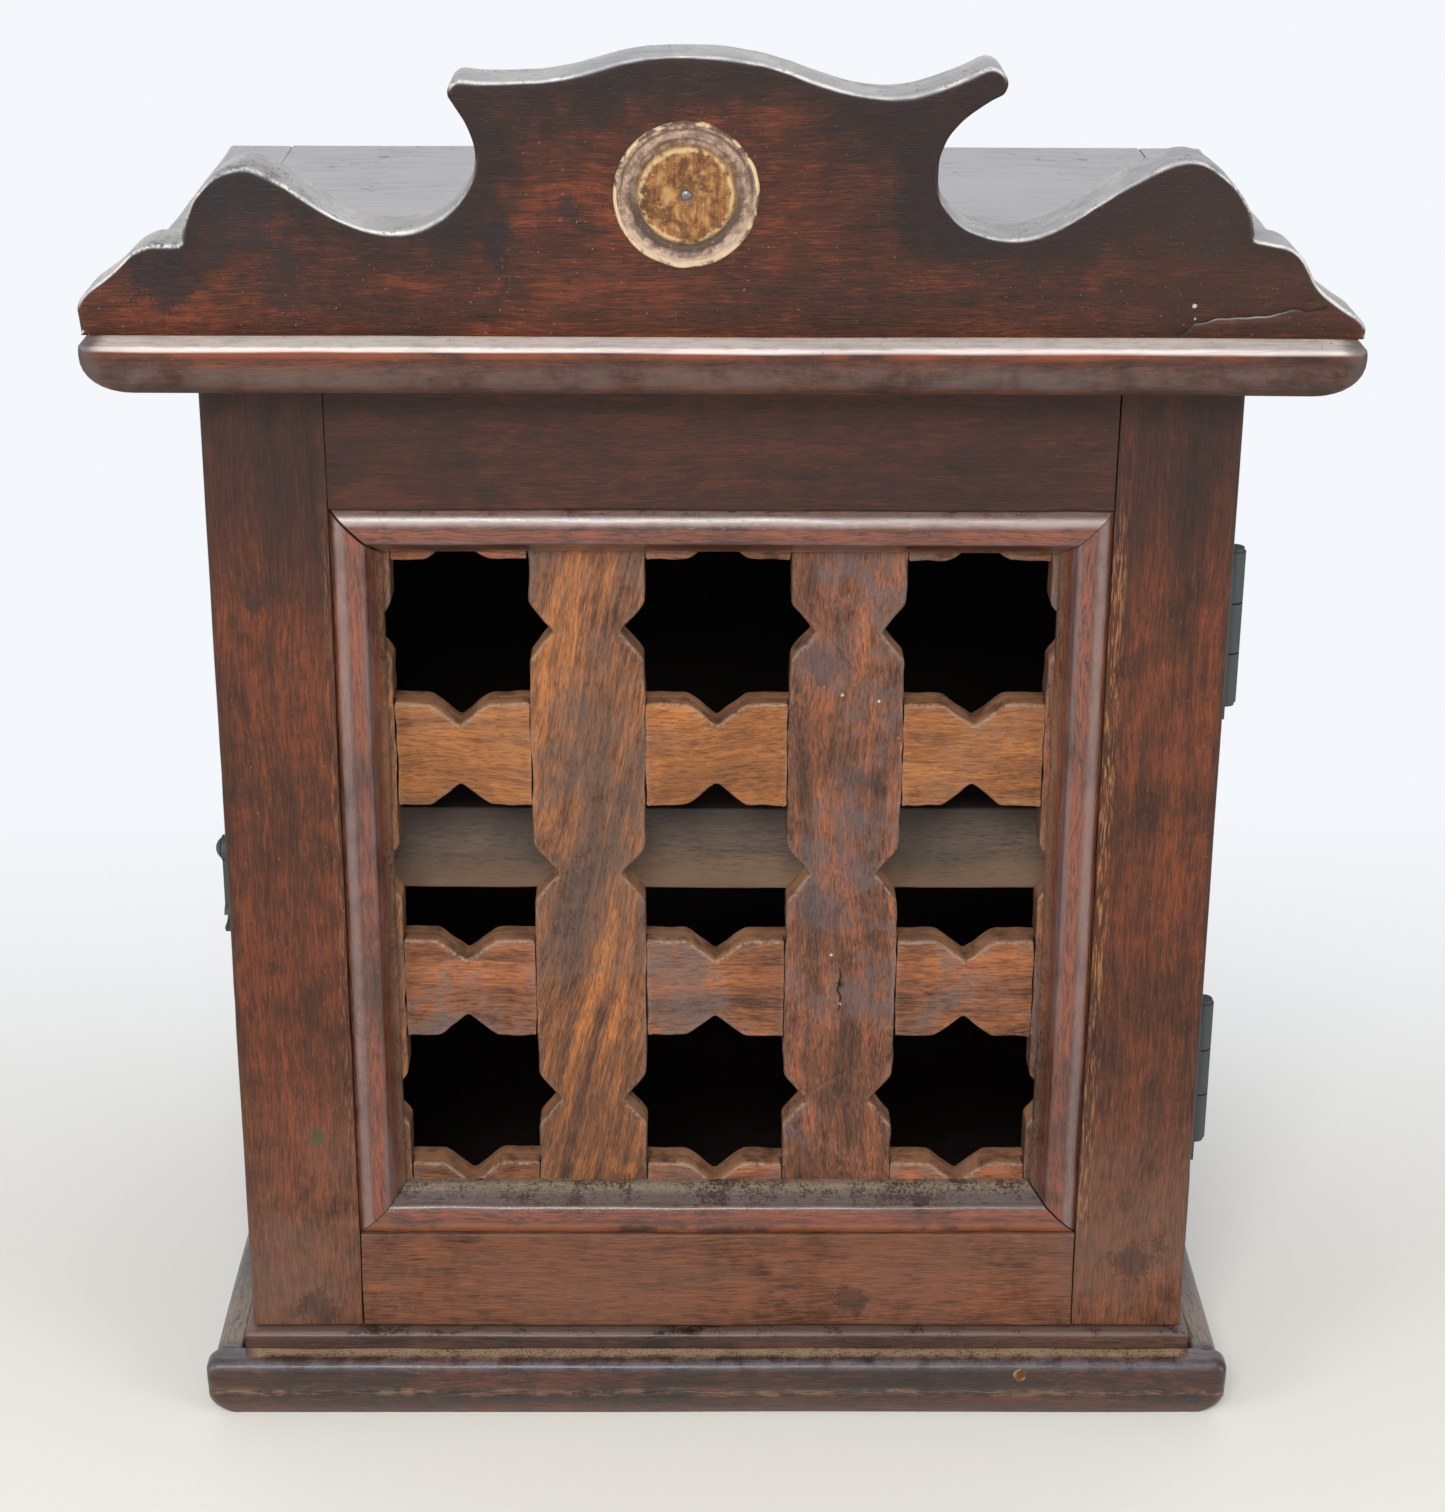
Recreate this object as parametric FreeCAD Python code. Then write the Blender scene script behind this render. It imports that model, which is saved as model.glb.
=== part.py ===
"""Wooden key cabinet: a hinged lattice door on a moulded case with a scrolled crest."""
import FreeCAD
import Part
import math
import os

V = FreeCAD.Vector

# Driving dimensions, in millimetres ------------------------------------------------------
# Case
CASE_WIDTH = 238.0          # outer faces of the side panels, and the door
CASE_DEPTH = 201.1          # side panels, front edge to back edge
CASE_HEIGHT = 251.6         # side panels, between the bottom board and the top
PANEL_THICKNESS = 10.0      # side panels
BACK_THICKNESS = 8.0
BOTTOM_THICKNESS = 16.0

# Base
BASE_HEIGHT = 17.0          # applied mouldings round the bottom board
PLINTH_RISE = 4.2           # bottom board above the mouldings
PLINTH_MARGIN = 2.2         # bottom board beyond the door and the sides
BASE_STRIP = 7.6            # width of the front moulding
BASE_SIDE_STRIP = 7.0       # width of the side mouldings
BASE_SIDE_GAP = 0.4         # open joint between bottom board and side mouldings
BASE_FRONT_OVERHANG = 1.6   # front moulding beyond the side mouldings
BASE_UNDER = (4.0, 13.8)    # rounding under the face: how far back, how far up
BASE_END_UNDER = (4.6, 7.0)
BASE_ROUNDING = 2.6         # upper edge

# Cornice and crest
CORNICE_OVERHANG = 22.2     # beyond each side of the case
CORNICE_THICKNESS = 11.2
CORNICE_UNDER = (4.4, 9.0)  # rounding under the face: how far back, how far up
CORNICE_END_UNDER = (9.0, 9.0)
CORNICE_ROUNDING = 1.6      # upper edge
CORNICE_PROJECTION = 22.5   # nose of the cornice in front of the door
CORNICE_SIDE_STRIP = 18.0   # width of each side moulding, on the top
CREST_OVERHANG = 23.8       # crest beyond each side of the case
CREST_HEIGHT = 61.4
CREST_THICKNESS = 17.0
CREST_SETBACK = 11.2        # crest behind the nose of the cornice

# Door
DOOR_THICKNESS = 17.0
DOOR_GAP = 0.4              # door to case, front to back
DOOR_SWING_GAP = 0.7        # door to the boards above and below it
STILE_WIDTH = 28.2
RAIL_TOP_HEIGHT = 32.0
RAIL_BOTTOM_HEIGHT = 27.2
TENON_THICKNESS = 6.0
TENON_LENGTH = 20.0
TENON_SHOULDER = 6.0
JOINT_CLEARANCE = 0.05      # glued and driven joints
FRAME_MOULDING = 11.5       # width of the planted moulding
MITRE_GAP = 0.4

# Lattice
LATTICE_RECESS = 8.0        # lattice behind the face of the door
UPRIGHT_WIDTH = 27.4
CROSS_SLAT_WIDTH = 26.4
LATTICE_EDGE_SIDE = 12.1    # edge strips at the stiles, before LATTICE_EDGE_SHOW
LATTICE_EDGE_END = 15.2     # edge strips at the rails
LATTICE_EDGE_SHOW = 0.9     # more of the side strips, seen past the moulding
WINDOWS = 3                 # each way
LATTICE_OFFSET_X = -0.8     # the middle window sits a little to the left
LATTICE_OFFSET_Z = 0.8
NOTCH_WIDTH = 14.0
NOTCH_DEPTH = 5.8
NOTCH_SHOULDER = 1.6        # eased corners of each notch

# Hinges
HINGE_LENGTH = 38.0
HINGE_LEAF_WIDTH = 13.2
HINGE_LEAF_THICKNESS = 1.0
HINGE_INSET = 65.5          # middle of each hinge from the end of the door
KNUCKLE_RADIUS = 2.7
KNUCKLE_STANDOFF = 0.5      # knuckles out from the side of the case
PIN_RADIUS = 1.2
PIN_CLEARANCE = 0.05
KNUCKLE_GAP = 0.4
LEAF_CLEARANCE = 0.9        # leaf to the other leaf's knuckles
SCREW_SPACING = 22.0

# Hook latch
HOOK_REACH = 18.0           # pivot to catch pin
HOOK_RISE = 130.1           # pivot above the foot of the door
HOOK_PIVOT_DEPTH = 8.5      # pivot behind the face of the door
HOOK_THICKNESS = 1.6
HOOK_SHANK_WIDTH = 3.0
HOOK_EYE_RADIUS = 3.2
HOOK_HEAD_RADIUS = 4.0
HOOK_SIDE_GAP = 0.3         # hook to the side of the door
CATCH_PIN_RADIUS = 1.2
CATCH_CLEARANCE = 0.45

# Inside
CROSS_RAIL_HEIGHT = 22.0
CROSS_RAIL_THICKNESS = 10.0
CROSS_RAIL_SETBACK = 17.0   # rail behind the back of the door
CROSS_RAIL_RISE = 108.8     # foot of the rail above the bottom board
KEY_HOOK_WIRE = 1.2         # radius
KEY_HOOK_REACH = 9.0
KEY_HOOK_RISE = 6.0
KEY_HOOK_BEND = 2.6
KEY_HOOK_BITE = 7.0         # length in the wood
KEY_HOOK_COLLAR = 2.7
RAIL_HOOK_COUNT = 4
RAIL_HOOK_MARGIN = 16.6     # end hooks from the side panels
BACK_HOOK_COUNT = 5
BACK_HOOK_MARGIN = 25.0
BACK_HOOK_DROP = 58.8       # below the top

# Rosette and small parts
ROSETTE_RADIUS = 15.9
ROSETTE_RECESS = 16.5
ROSETTE_DEPTH = 3.0
ROSETTE_X = -8.2
ROSETTE_RISE = 31.6         # centre above the foot of the crest
PEG_RADIUS = 1.7
PEG_LENGTH = 12.0
PEG_INSET = 42.0            # from the right side of the case
NAIL_RADIUS = 0.9
NAIL_HEAD = 1.9
NAIL_LENGTH = 22.0

# Levels and planes worked out from the sizes ---------------------------------------------
BODY_DEPTH = CORNICE_PROJECTION + DOOR_THICKNESS + DOOR_GAP + CASE_DEPTH
Y_NOSE = -BODY_DEPTH / 2
Y_DOOR = Y_NOSE + CORNICE_PROJECTION
Y_DOOR_BACK = Y_DOOR + DOOR_THICKNESS
Y_CASE = Y_DOOR_BACK + DOOR_GAP
Y_BACK = Y_CASE + CASE_DEPTH
Y_PLINTH = Y_DOOR - PLINTH_MARGIN
Y_CREST = Y_NOSE + CREST_SETBACK
Y_CREST_BACK = Y_CREST + CREST_THICKNESS
Z_BOTTOM = BASE_HEIGHT + PLINTH_RISE
Z_TOP = Z_BOTTOM + CASE_HEIGHT
Z_CREST = Z_TOP + CORNICE_THICKNESS
Z_DOOR = Z_BOTTOM + DOOR_SWING_GAP
Z_DOOR_TOP = Z_TOP - DOOR_SWING_GAP
X_SIDE = CASE_WIDTH / 2
X_INNER = X_SIDE - PANEL_THICKNESS
X_FRAME = X_SIDE - STILE_WIDTH
X_PLINTH = X_SIDE + PLINTH_MARGIN
X_CORNICE = X_SIDE + CORNICE_OVERHANG
Z_FRAME = Z_DOOR + RAIL_BOTTOM_HEIGHT
Z_FRAME_TOP = Z_DOOR_TOP - RAIL_TOP_HEIGHT
Y_LATTICE = Y_DOOR + LATTICE_RECESS
Y_LAP = (Y_LATTICE + Y_DOOR_BACK) / 2
Z_LATTICE = (Z_FRAME + Z_FRAME_TOP) / 2 + LATTICE_OFFSET_Z
PITCH_X = (2 * (X_FRAME - LATTICE_EDGE_SIDE) + UPRIGHT_WIDTH) / WINDOWS
PITCH_Z = (Z_FRAME_TOP - Z_FRAME - 2 * LATTICE_EDGE_END + CROSS_SLAT_WIDTH) / WINDOWS
PIN_OFFSET = KNUCKLE_STANDOFF + KNUCKLE_RADIUS
X_PIN = X_SIDE + PIN_OFFSET
Y_PIN = Y_DOOR_BACK + DOOR_GAP / 2
Y_HOOK = Y_DOOR + HOOK_PIVOT_DEPTH
Z_HOOK = Z_DOOR + HOOK_RISE
Y_RAIL = Y_DOOR_BACK + CROSS_RAIL_SETBACK
Z_RAIL = Z_BOTTOM + CROSS_RAIL_RISE
Z_RAIL_TOP = Z_RAIL + CROSS_RAIL_HEIGHT
Z_ROSETTE = Z_CREST + ROSETTE_RISE

nodes = {}


# Building blocks -------------------------------------------------------------------------
def box(x0, x1, y0, y1, z0, z1):
    """Return a block between two values on each axis."""
    return Part.makeBox(x1 - x0, y1 - y0, z1 - z0, V(x0, y0, z0))


def face(start, *stretches):
    """Return a closed face: a stretch of 1 point is a line, 2 an arc, more a smooth curve."""
    edges = []
    here = start
    for stretch in stretches:
        points = [here] + list(stretch)
        if len(points) == 2:
            curve = Part.LineSegment(*points)
        elif len(points) == 3:
            curve = Part.Arc(*points)
        else:
            curve = Part.BSplineCurve()
            curve.interpolate(points)
        edges.append(curve.toShape())
        here = points[-1]
    return Part.Face(Part.Wire(edges))


def cylinder(radius, start, direction, length):
    """Return a round bar from start along direction."""
    return Part.makeCylinder(radius, length, start, direction)


def joined(shapes):
    """Return one solid made of overlapping shapes."""
    return shapes[0].fuse(shapes[1:]).removeSplitter()


def let_in(fasteners, names):
    """Cut the seats of the fasteners in the nodes that they pass through."""
    for name in names:
        nodes[name] = nodes[name].cut(fasteners)


def nail(point, direction, length=NAIL_LENGTH):
    """Return a round-headed nail driven from point, its head just under the surface."""
    shank = cylinder(NAIL_RADIUS, point, direction, length)
    head = cylinder(NAIL_HEAD, point, direction, NAIL_RADIUS)
    return joined([head, shank])


# Base ------------------------------------------------------------------------------------
def nose(place, outer, inner, heights, under, rounding):
    """Return the section of an edge moulding, rounded under from its face and eased on top.

    place(across, height) gives a 3-D point; outer and inner are the limits across; under is how
    far the foot lies behind the face and how far up the rounding goes; rounding is the radius of
    the upper edge.
    """
    foot, head = heights
    toe, rise = under
    shoulder = foot + rise
    radius = (toe ** 2 + rise ** 2) / (2 * toe)
    middle = math.asin(min(1.0, rise / radius)) / 2
    soft = rounding * (1 - math.sqrt(0.5))
    return face(
        place(inner, foot), [place(outer + toe, foot)],
        [place(outer + radius * (1 - math.cos(middle)), shoulder - radius * math.sin(middle)),
         place(outer, shoulder)],
        [place(outer, head - rounding)],
        [place(outer + soft, head - soft), place(outer + rounding, head)],
        [place(inner, head)], [place(inner, foot)])


def mirrored(shape):
    """Return the copy of a shape on the other side of the cabinet."""
    return shape.mirror(V(0, 0, 0), V(1, 0, 0))


def make_base():
    """Front and side mouldings round the bottom board, and the board itself."""
    levels = (0.0, BASE_HEIGHT)
    y_front = Y_PLINTH - BASE_STRIP
    x_out = X_PLINTH + BASE_SIDE_GAP + BASE_SIDE_STRIP
    x_end = x_out + BASE_FRONT_OVERHANG
    front = nose(lambda a, h: V(-x_end, a, h), y_front, Y_PLINTH, levels, BASE_UNDER, BASE_ROUNDING)
    front = front.extrude(V(2 * x_end, 0, 0))
    end = nose(lambda a, h: V(a, y_front, h), -x_end, 0.0, levels, BASE_END_UNDER, BASE_ROUNDING)
    end = end.extrude(V(0, BASE_STRIP, 0))
    nodes["base_front"] = front.common(joined([end, mirrored(end)]))

    side = nose(lambda a, h: V(a, Y_PLINTH, h), -x_out, -x_out + BASE_SIDE_STRIP, levels,
                BASE_UNDER, BASE_ROUNDING)
    side = side.extrude(V(0, Y_BACK - Y_PLINTH, 0))
    nodes["base_left"] = side
    nodes["base_right"] = mirrored(side)

    board = box(-X_PLINTH, X_PLINTH, Y_PLINTH, Y_BACK, Z_BOTTOM - BOTTOM_THICKNESS, Z_BOTTOM)
    lip = [e for e in board.Edges if abs(e.BoundBox.ZMin - Z_BOTTOM) < 1e-6 and e.BoundBox.YMax < Y_CASE]
    nodes["bottom_board"] = board.makeFillet(PLINTH_MARGIN * 0.6, lip)

    peg_start = V(X_SIDE - PEG_INSET, y_front - 1.0, BASE_HEIGHT * 0.8)
    peg = cylinder(PEG_RADIUS, peg_start, V(0, 1, 0), PEG_LENGTH + 1.0)
    nodes["base_peg"] = peg.common(joined([nodes["base_front"], nodes["bottom_board"]]))
    let_in(nodes["base_peg"], ["base_front", "bottom_board"])


# Case ------------------------------------------------------------------------------------
def make_case():
    """Side panels, back board and the rail that crosses the case behind the door."""
    side = box(-X_SIDE, -X_INNER, Y_CASE, Y_BACK, Z_BOTTOM, Z_TOP)
    rebate = box(-X_INNER - PANEL_THICKNESS / 2, -X_INNER, Y_BACK - BACK_THICKNESS, Y_BACK, Z_BOTTOM, Z_TOP)
    side = side.cut(rebate)
    nodes["side_left"] = side
    nodes["side_right"] = mirrored(side)
    reach = X_INNER + PANEL_THICKNESS / 2 - JOINT_CLEARANCE
    nodes["back_board"] = box(-reach, reach, Y_BACK - BACK_THICKNESS, Y_BACK, Z_BOTTOM, Z_TOP)
    y_rail_back = Y_RAIL + CROSS_RAIL_THICKNESS
    nodes["cross_rail"] = box(-X_INNER, X_INNER, Y_RAIL, y_rail_back, Z_RAIL, Z_RAIL_TOP)


def make_case_nails():
    """Nails through the back board, up through the bottom board and through the sides."""
    x_nail = X_INNER + PANEL_THICKNESS / 4
    rows = 4
    step = CASE_HEIGHT / rows
    back = []
    for row in range(rows):
        z = Z_BOTTOM + step * (row + 0.5)
        back.append(nail(V(-x_nail, Y_BACK, z), V(0, -1, 0)))
        back.append(nail(V(x_nail, Y_BACK, z), V(0, -1, 0)))
    nodes["back_nails"] = Part.makeCompound(back)
    let_in(nodes["back_nails"], ["back_board", "side_left", "side_right"])

    x_mid = X_SIDE - PANEL_THICKNESS / 2
    under = []
    columns = 3
    step = CASE_DEPTH / columns
    for column in range(columns):
        y = Y_CASE + step * (column + 0.5)
        under.append(nail(V(-x_mid, y, Z_BOTTOM - BOTTOM_THICKNESS), V(0, 0, 1), BOTTOM_THICKNESS + 14.0))
        under.append(nail(V(x_mid, y, Z_BOTTOM - BOTTOM_THICKNESS), V(0, 0, 1), BOTTOM_THICKNESS + 14.0))
    nodes["bottom_nails"] = Part.makeCompound(under)
    let_in(nodes["bottom_nails"], ["bottom_board", "side_left", "side_right"])

    y_mid = Y_RAIL + CROSS_RAIL_THICKNESS / 2
    z_mid = (Z_RAIL + Z_RAIL_TOP) / 2
    ends = [nail(V(-X_SIDE, y_mid, z_mid), V(1, 0, 0)), nail(V(X_SIDE, y_mid, z_mid), V(-1, 0, 0))]
    nodes["cross_rail_nails"] = Part.makeCompound(ends)
    let_in(nodes["cross_rail_nails"], ["cross_rail", "side_left", "side_right"])


# Key hooks -------------------------------------------------------------------------------
def key_hook(x, y, z):
    """Return a square screw hook that leaves the wood at (x, y, z) towards the door."""
    turn = KEY_HOOK_BEND * math.sqrt(0.5)
    y_up = y - KEY_HOOK_REACH
    root = V(x, y + KEY_HOOK_BITE, z)
    bend_in = V(x, y_up + KEY_HOOK_BEND, z)
    bend_mid = V(x, y_up + KEY_HOOK_BEND - turn, z + KEY_HOOK_BEND - turn)
    bend_out = V(x, y_up, z + KEY_HOOK_BEND)
    tip = V(x, y_up, z + KEY_HOOK_BEND + KEY_HOOK_RISE)
    path = Part.Wire([Part.LineSegment(root, bend_in).toShape(),
                      Part.Arc(bend_in, bend_mid, bend_out).toShape(),
                      Part.LineSegment(bend_out, tip).toShape()])
    ring = Part.Wire(Part.Circle(root, V(0, -1, 0), KEY_HOOK_WIRE).toShape())
    wire = path.makePipeShell([ring], True, False)
    collar = cylinder(KEY_HOOK_COLLAR, V(x, y, z), V(0, -1, 0), KEY_HOOK_WIRE)
    return joined([wire, collar])


def hook_row(count, margin, y, z):
    """Return evenly spaced hooks between the side panels, the end ones margin away."""
    first = margin - X_INNER
    pitch = -2 * first / (count - 1)
    return Part.makeCompound([key_hook(first + n * pitch, y, z) for n in range(count)])


def make_key_hooks():
    """A row of hooks on the cross rail and a row high on the back board."""
    z_rail = Z_RAIL + CROSS_RAIL_HEIGHT * 0.4
    y_board = Y_BACK - BACK_THICKNESS
    nodes["key_hooks_rail"] = hook_row(RAIL_HOOK_COUNT, RAIL_HOOK_MARGIN, Y_RAIL, z_rail)
    let_in(nodes["key_hooks_rail"], ["cross_rail"])
    nodes["key_hooks_back"] = hook_row(BACK_HOOK_COUNT, BACK_HOOK_MARGIN, y_board, Z_TOP - BACK_HOOK_DROP)
    let_in(nodes["key_hooks_back"], ["back_board"])


# Top -------------------------------------------------------------------------------------
def make_top():
    """Top board framed by the front and side cornice mouldings."""
    levels = (Z_TOP, Z_CREST)
    front = nose(lambda a, h: V(-X_CORNICE, a, h), Y_NOSE, Y_CREST_BACK, levels,
                 CORNICE_UNDER, CORNICE_ROUNDING)
    front = front.extrude(V(2 * X_CORNICE, 0, 0))
    end = nose(lambda a, h: V(a, Y_NOSE, h), -X_CORNICE, 0.0, levels,
               CORNICE_END_UNDER, CORNICE_ROUNDING)
    end = end.extrude(V(0, Y_CREST_BACK - Y_NOSE, 0))
    nodes["cornice_front"] = front.common(joined([end, mirrored(end)]))

    x_joint = X_CORNICE - CORNICE_SIDE_STRIP
    side = nose(lambda a, h: V(a, Y_CREST_BACK, h), -X_CORNICE, -x_joint, levels,
                CORNICE_END_UNDER, CORNICE_ROUNDING)
    side = side.extrude(V(0, Y_BACK - Y_CREST_BACK, 0))
    nodes["cornice_left"] = side
    nodes["cornice_right"] = mirrored(side)
    nodes["top_board"] = box(-x_joint, x_joint, Y_CREST_BACK, Y_BACK, Z_TOP, Z_CREST)


# Crest pattern: template 286.6 x 61.4, x from the middle and height from the foot.
PATTERN_WIDTH = 286.6
PATTERN_HEIGHT = 61.4
CREST_PATTERN = (
    [(-143.3, 5.6)],
    [(-142.0, 8.6), (-136.2, 13.0), (-129.8, 18.8), (-126.2, 20.4)],
    [(-119.5, 20.4)],
    [(-117.6, 27.4), (-112.6, 34.4), (-105.2, 37.4), (-96.4, 33.8), (-86.0, 26.8), (-74.0, 23.2),
     (-63.2, 26.0), (-56.2, 32.6), (-54.2, 39.6), (-56.2, 46.4), (-59.9, 52.2)],
    [(-59.6, 54.6), (-56.6, 56.2)],
    [(-45.0, 55.8), (-33.4, 57.1), (-21.6, 60.3), (-8.6, 61.4), (4.4, 60.5), (15.2, 57.7), (26.8, 54.0),
     (37.0, 52.9), (47.0, 55.1), (56.4, 59.2)],
    [(60.0, 58.6), (60.6, 53.0)],
    [(53.4, 48.8), (48.5, 43.2), (46.9, 36.2), (48.6, 29.4), (54.2, 24.2), (61.6, 22.2), (70.2, 23.3),
     (82.0, 29.8), (93.8, 37.0), (102.2, 39.5), (109.6, 36.0), (114.8, 30.0), (117.0, 22.0)],
    [(122.4, 21.0)],
    [(125.7, 19.9), (128.4, 17.4), (130.3, 14.0), (133.8, 10.0), (139.2, 6.2), (142.2, 4.0),
     (143.3, 1.8)],
    [(142.7, 0.0)],
    [(-142.7, 0.0)],
)


def make_crest():
    """Scroll-cut crest board with a turned rosette let into its face."""
    stretch = 2 * (X_SIDE + CREST_OVERHANG) / PATTERN_WIDTH
    rise = CREST_HEIGHT / PATTERN_HEIGHT

    def on_board(point):
        """Place a template point on the front face of the board."""
        return V(point[0] * stretch, Y_CREST, Z_CREST + point[1] * rise)

    runs = [[on_board(p) for p in run] for run in CREST_PATTERN]
    board = face(runs[-1][-1], *runs).extrude(V(0, CREST_THICKNESS, 0))
    centre = V(ROSETTE_X, Y_CREST, Z_ROSETTE)
    recess = cylinder(ROSETTE_RECESS, centre, V(0, 1, 0), ROSETTE_DEPTH)
    nodes["crest_board"] = board.cut(recess)

    def turned(radius, y):
        """Place a point of the turned profile beside the rosette's axis."""
        return V(ROSETTE_X + radius, Y_CREST + y, Z_ROSETTE)

    rim = ROSETTE_RADIUS
    disc = rim - 4.9
    profile = face(
        turned(0, ROSETTE_DEPTH), [turned(rim, ROSETTE_DEPTH)], [turned(rim, 0.6)],
        [turned(rim - 0.5, 0.1), turned(rim - 1.3, 0.0)], [turned(disc + 1.2, -0.6)],
        [turned(disc + 0.6, 0.4), turned(disc, -0.6)], [turned(disc - 0.6, -1.4)],
        [turned(0, -1.4)], [turned(0, ROSETTE_DEPTH)])
    nodes["rosette"] = profile.revolve(centre, V(0, 1, 0), 360)
    nodes["rosette_nail"] = nail(centre + V(0, -1.9, 0), V(0, 1, 0), 12.0)
    let_in(nodes["rosette_nail"], ["rosette", "crest_board"])

    y_mid = Y_CREST + CREST_THICKNESS / 2
    reach = CORNICE_THICKNESS + 12.0
    spread = CASE_WIDTH * 0.4
    nails = [nail(V(x, y_mid, Z_TOP), V(0, 0, 1), reach) for x in (-spread, 0.0, spread)]
    nodes["crest_nails"] = Part.makeCompound(nails)
    let_in(nodes["crest_nails"], ["cornice_front", "crest_board"])


# Door frame ------------------------------------------------------------------------------
def tenoned_rail(z0, z1):
    """Return a rail between the stiles with a tenon on each end."""
    rail = box(-X_FRAME, X_FRAME, Y_DOOR, Y_DOOR_BACK, z0, z1)
    y_mid = (Y_DOOR + Y_DOOR_BACK) / 2
    reach = X_FRAME + TENON_LENGTH
    tenon = box(-reach, reach, y_mid - TENON_THICKNESS / 2, y_mid + TENON_THICKNESS / 2,
                z0 + TENON_SHOULDER, z1 - TENON_SHOULDER)
    return joined([rail, tenon])


def mortised_stile(rails):
    """Return the left stile with mortises for the tenons of the rails."""
    stile = box(-X_SIDE, -X_FRAME, Y_DOOR, Y_DOOR_BACK, Z_DOOR, Z_DOOR_TOP)
    y_mid = (Y_DOOR + Y_DOOR_BACK) / 2
    half = TENON_THICKNESS / 2 + JOINT_CLEARANCE
    for z0, z1 in rails:
        low = z0 + TENON_SHOULDER - JOINT_CLEARANCE
        high = z1 - TENON_SHOULDER + JOINT_CLEARANCE
        deep = -X_FRAME - TENON_LENGTH - JOINT_CLEARANCE
        stile = stile.cut(box(deep, -X_FRAME, y_mid - half, y_mid + half, low, high))
    return stile


def make_door_frame():
    """Two stiles and two rails, mortised and tenoned."""
    rails = ((Z_DOOR, Z_FRAME), (Z_FRAME_TOP, Z_DOOR_TOP))
    nodes["rail_bottom"] = tenoned_rail(*rails[0])
    nodes["rail_top"] = tenoned_rail(*rails[1])
    stile = mortised_stile(rails)
    nodes["stile_left"] = stile
    nodes["stile_right"] = mirrored(stile)


def moulding_section(place):
    """Return the section of the planted moulding; place(across, depth) gives a 3-D point."""
    quirk = 0.7
    proud = -0.9
    return face(
        place(0, LATTICE_RECESS), [place(0, quirk)],
        [place(2.2, -0.5), place(5.0, proud)],
        [place(7.2, -0.45), place(8.3, 0.5)],
        [place(FRAME_MOULDING, 5.8)],
        [place(FRAME_MOULDING, LATTICE_RECESS)], [place(0, LATTICE_RECESS)])


def make_door_mouldings():
    """Four mitred mouldings in front of the lattice."""
    width = FRAME_MOULDING
    gap = MITRE_GAP / 2
    y0 = Y_DOOR - 2.0
    reach = LATTICE_RECESS + 2.0
    inset = JOINT_CLEARANCE
    x_out = X_FRAME - inset
    z_out = Z_FRAME + inset
    z_top = Z_FRAME_TOP - inset

    def mitred(bar, corners):
        """Keep the part of a bar inside the four corners of its face."""
        points = [V(x, y0, z) for x, z in corners]
        return bar.common(face(points[-1], *[[p] for p in points]).extrude(V(0, reach, 0)))

    low = moulding_section(lambda a, d: V(-x_out, Y_DOOR + d, z_out + a)).extrude(V(2 * x_out, 0, 0))
    high = moulding_section(lambda a, d: V(-x_out, Y_DOOR + d, z_top - a)).extrude(V(2 * x_out, 0, 0))
    left = moulding_section(lambda a, d: V(-x_out + a, Y_DOOR + d, z_out)).extrude(V(0, 0, z_top - z_out))
    in_x = x_out - width
    nodes["moulding_bottom"] = mitred(low, (
        (-x_out + gap, z_out), (x_out - gap, z_out),
        (in_x - gap, z_out + width), (-in_x + gap, z_out + width)))
    nodes["moulding_top"] = mitred(high, (
        (-x_out + gap, z_top), (x_out - gap, z_top),
        (in_x - gap, z_top - width), (-in_x + gap, z_top - width)))
    left = mitred(left, (
        (-x_out, z_out + gap), (-x_out, z_top - gap),
        (-in_x, z_top - width - gap), (-in_x, z_out + width + gap)))
    nodes["moulding_left"] = left
    nodes["moulding_right"] = mirrored(left)


# Lattice ---------------------------------------------------------------------------------
def notch(centre, outward, along):
    """Return a V notch cut into an edge at centre; outward points out of the slat."""
    half = NOTCH_WIDTH / 2
    ease = NOTCH_SHOULDER
    thick = V(0, DOOR_THICKNESS, 0)
    lip = centre + outward * ease
    tip = centre - outward * NOTCH_DEPTH
    slope = NOTCH_DEPTH / half
    left = -along
    wedge = face(
        lip + left * (half + ease),
        [centre + left * half - outward * 0.3, centre + left * (half - ease) - outward * ease * slope],
        [tip],
        [centre + along * (half - ease) - outward * ease * slope],
        [centre + along * half - outward * 0.3, lip + along * (half + ease)],
        [lip + left * (half + ease)])
    return wedge.extrude(thick)


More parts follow.
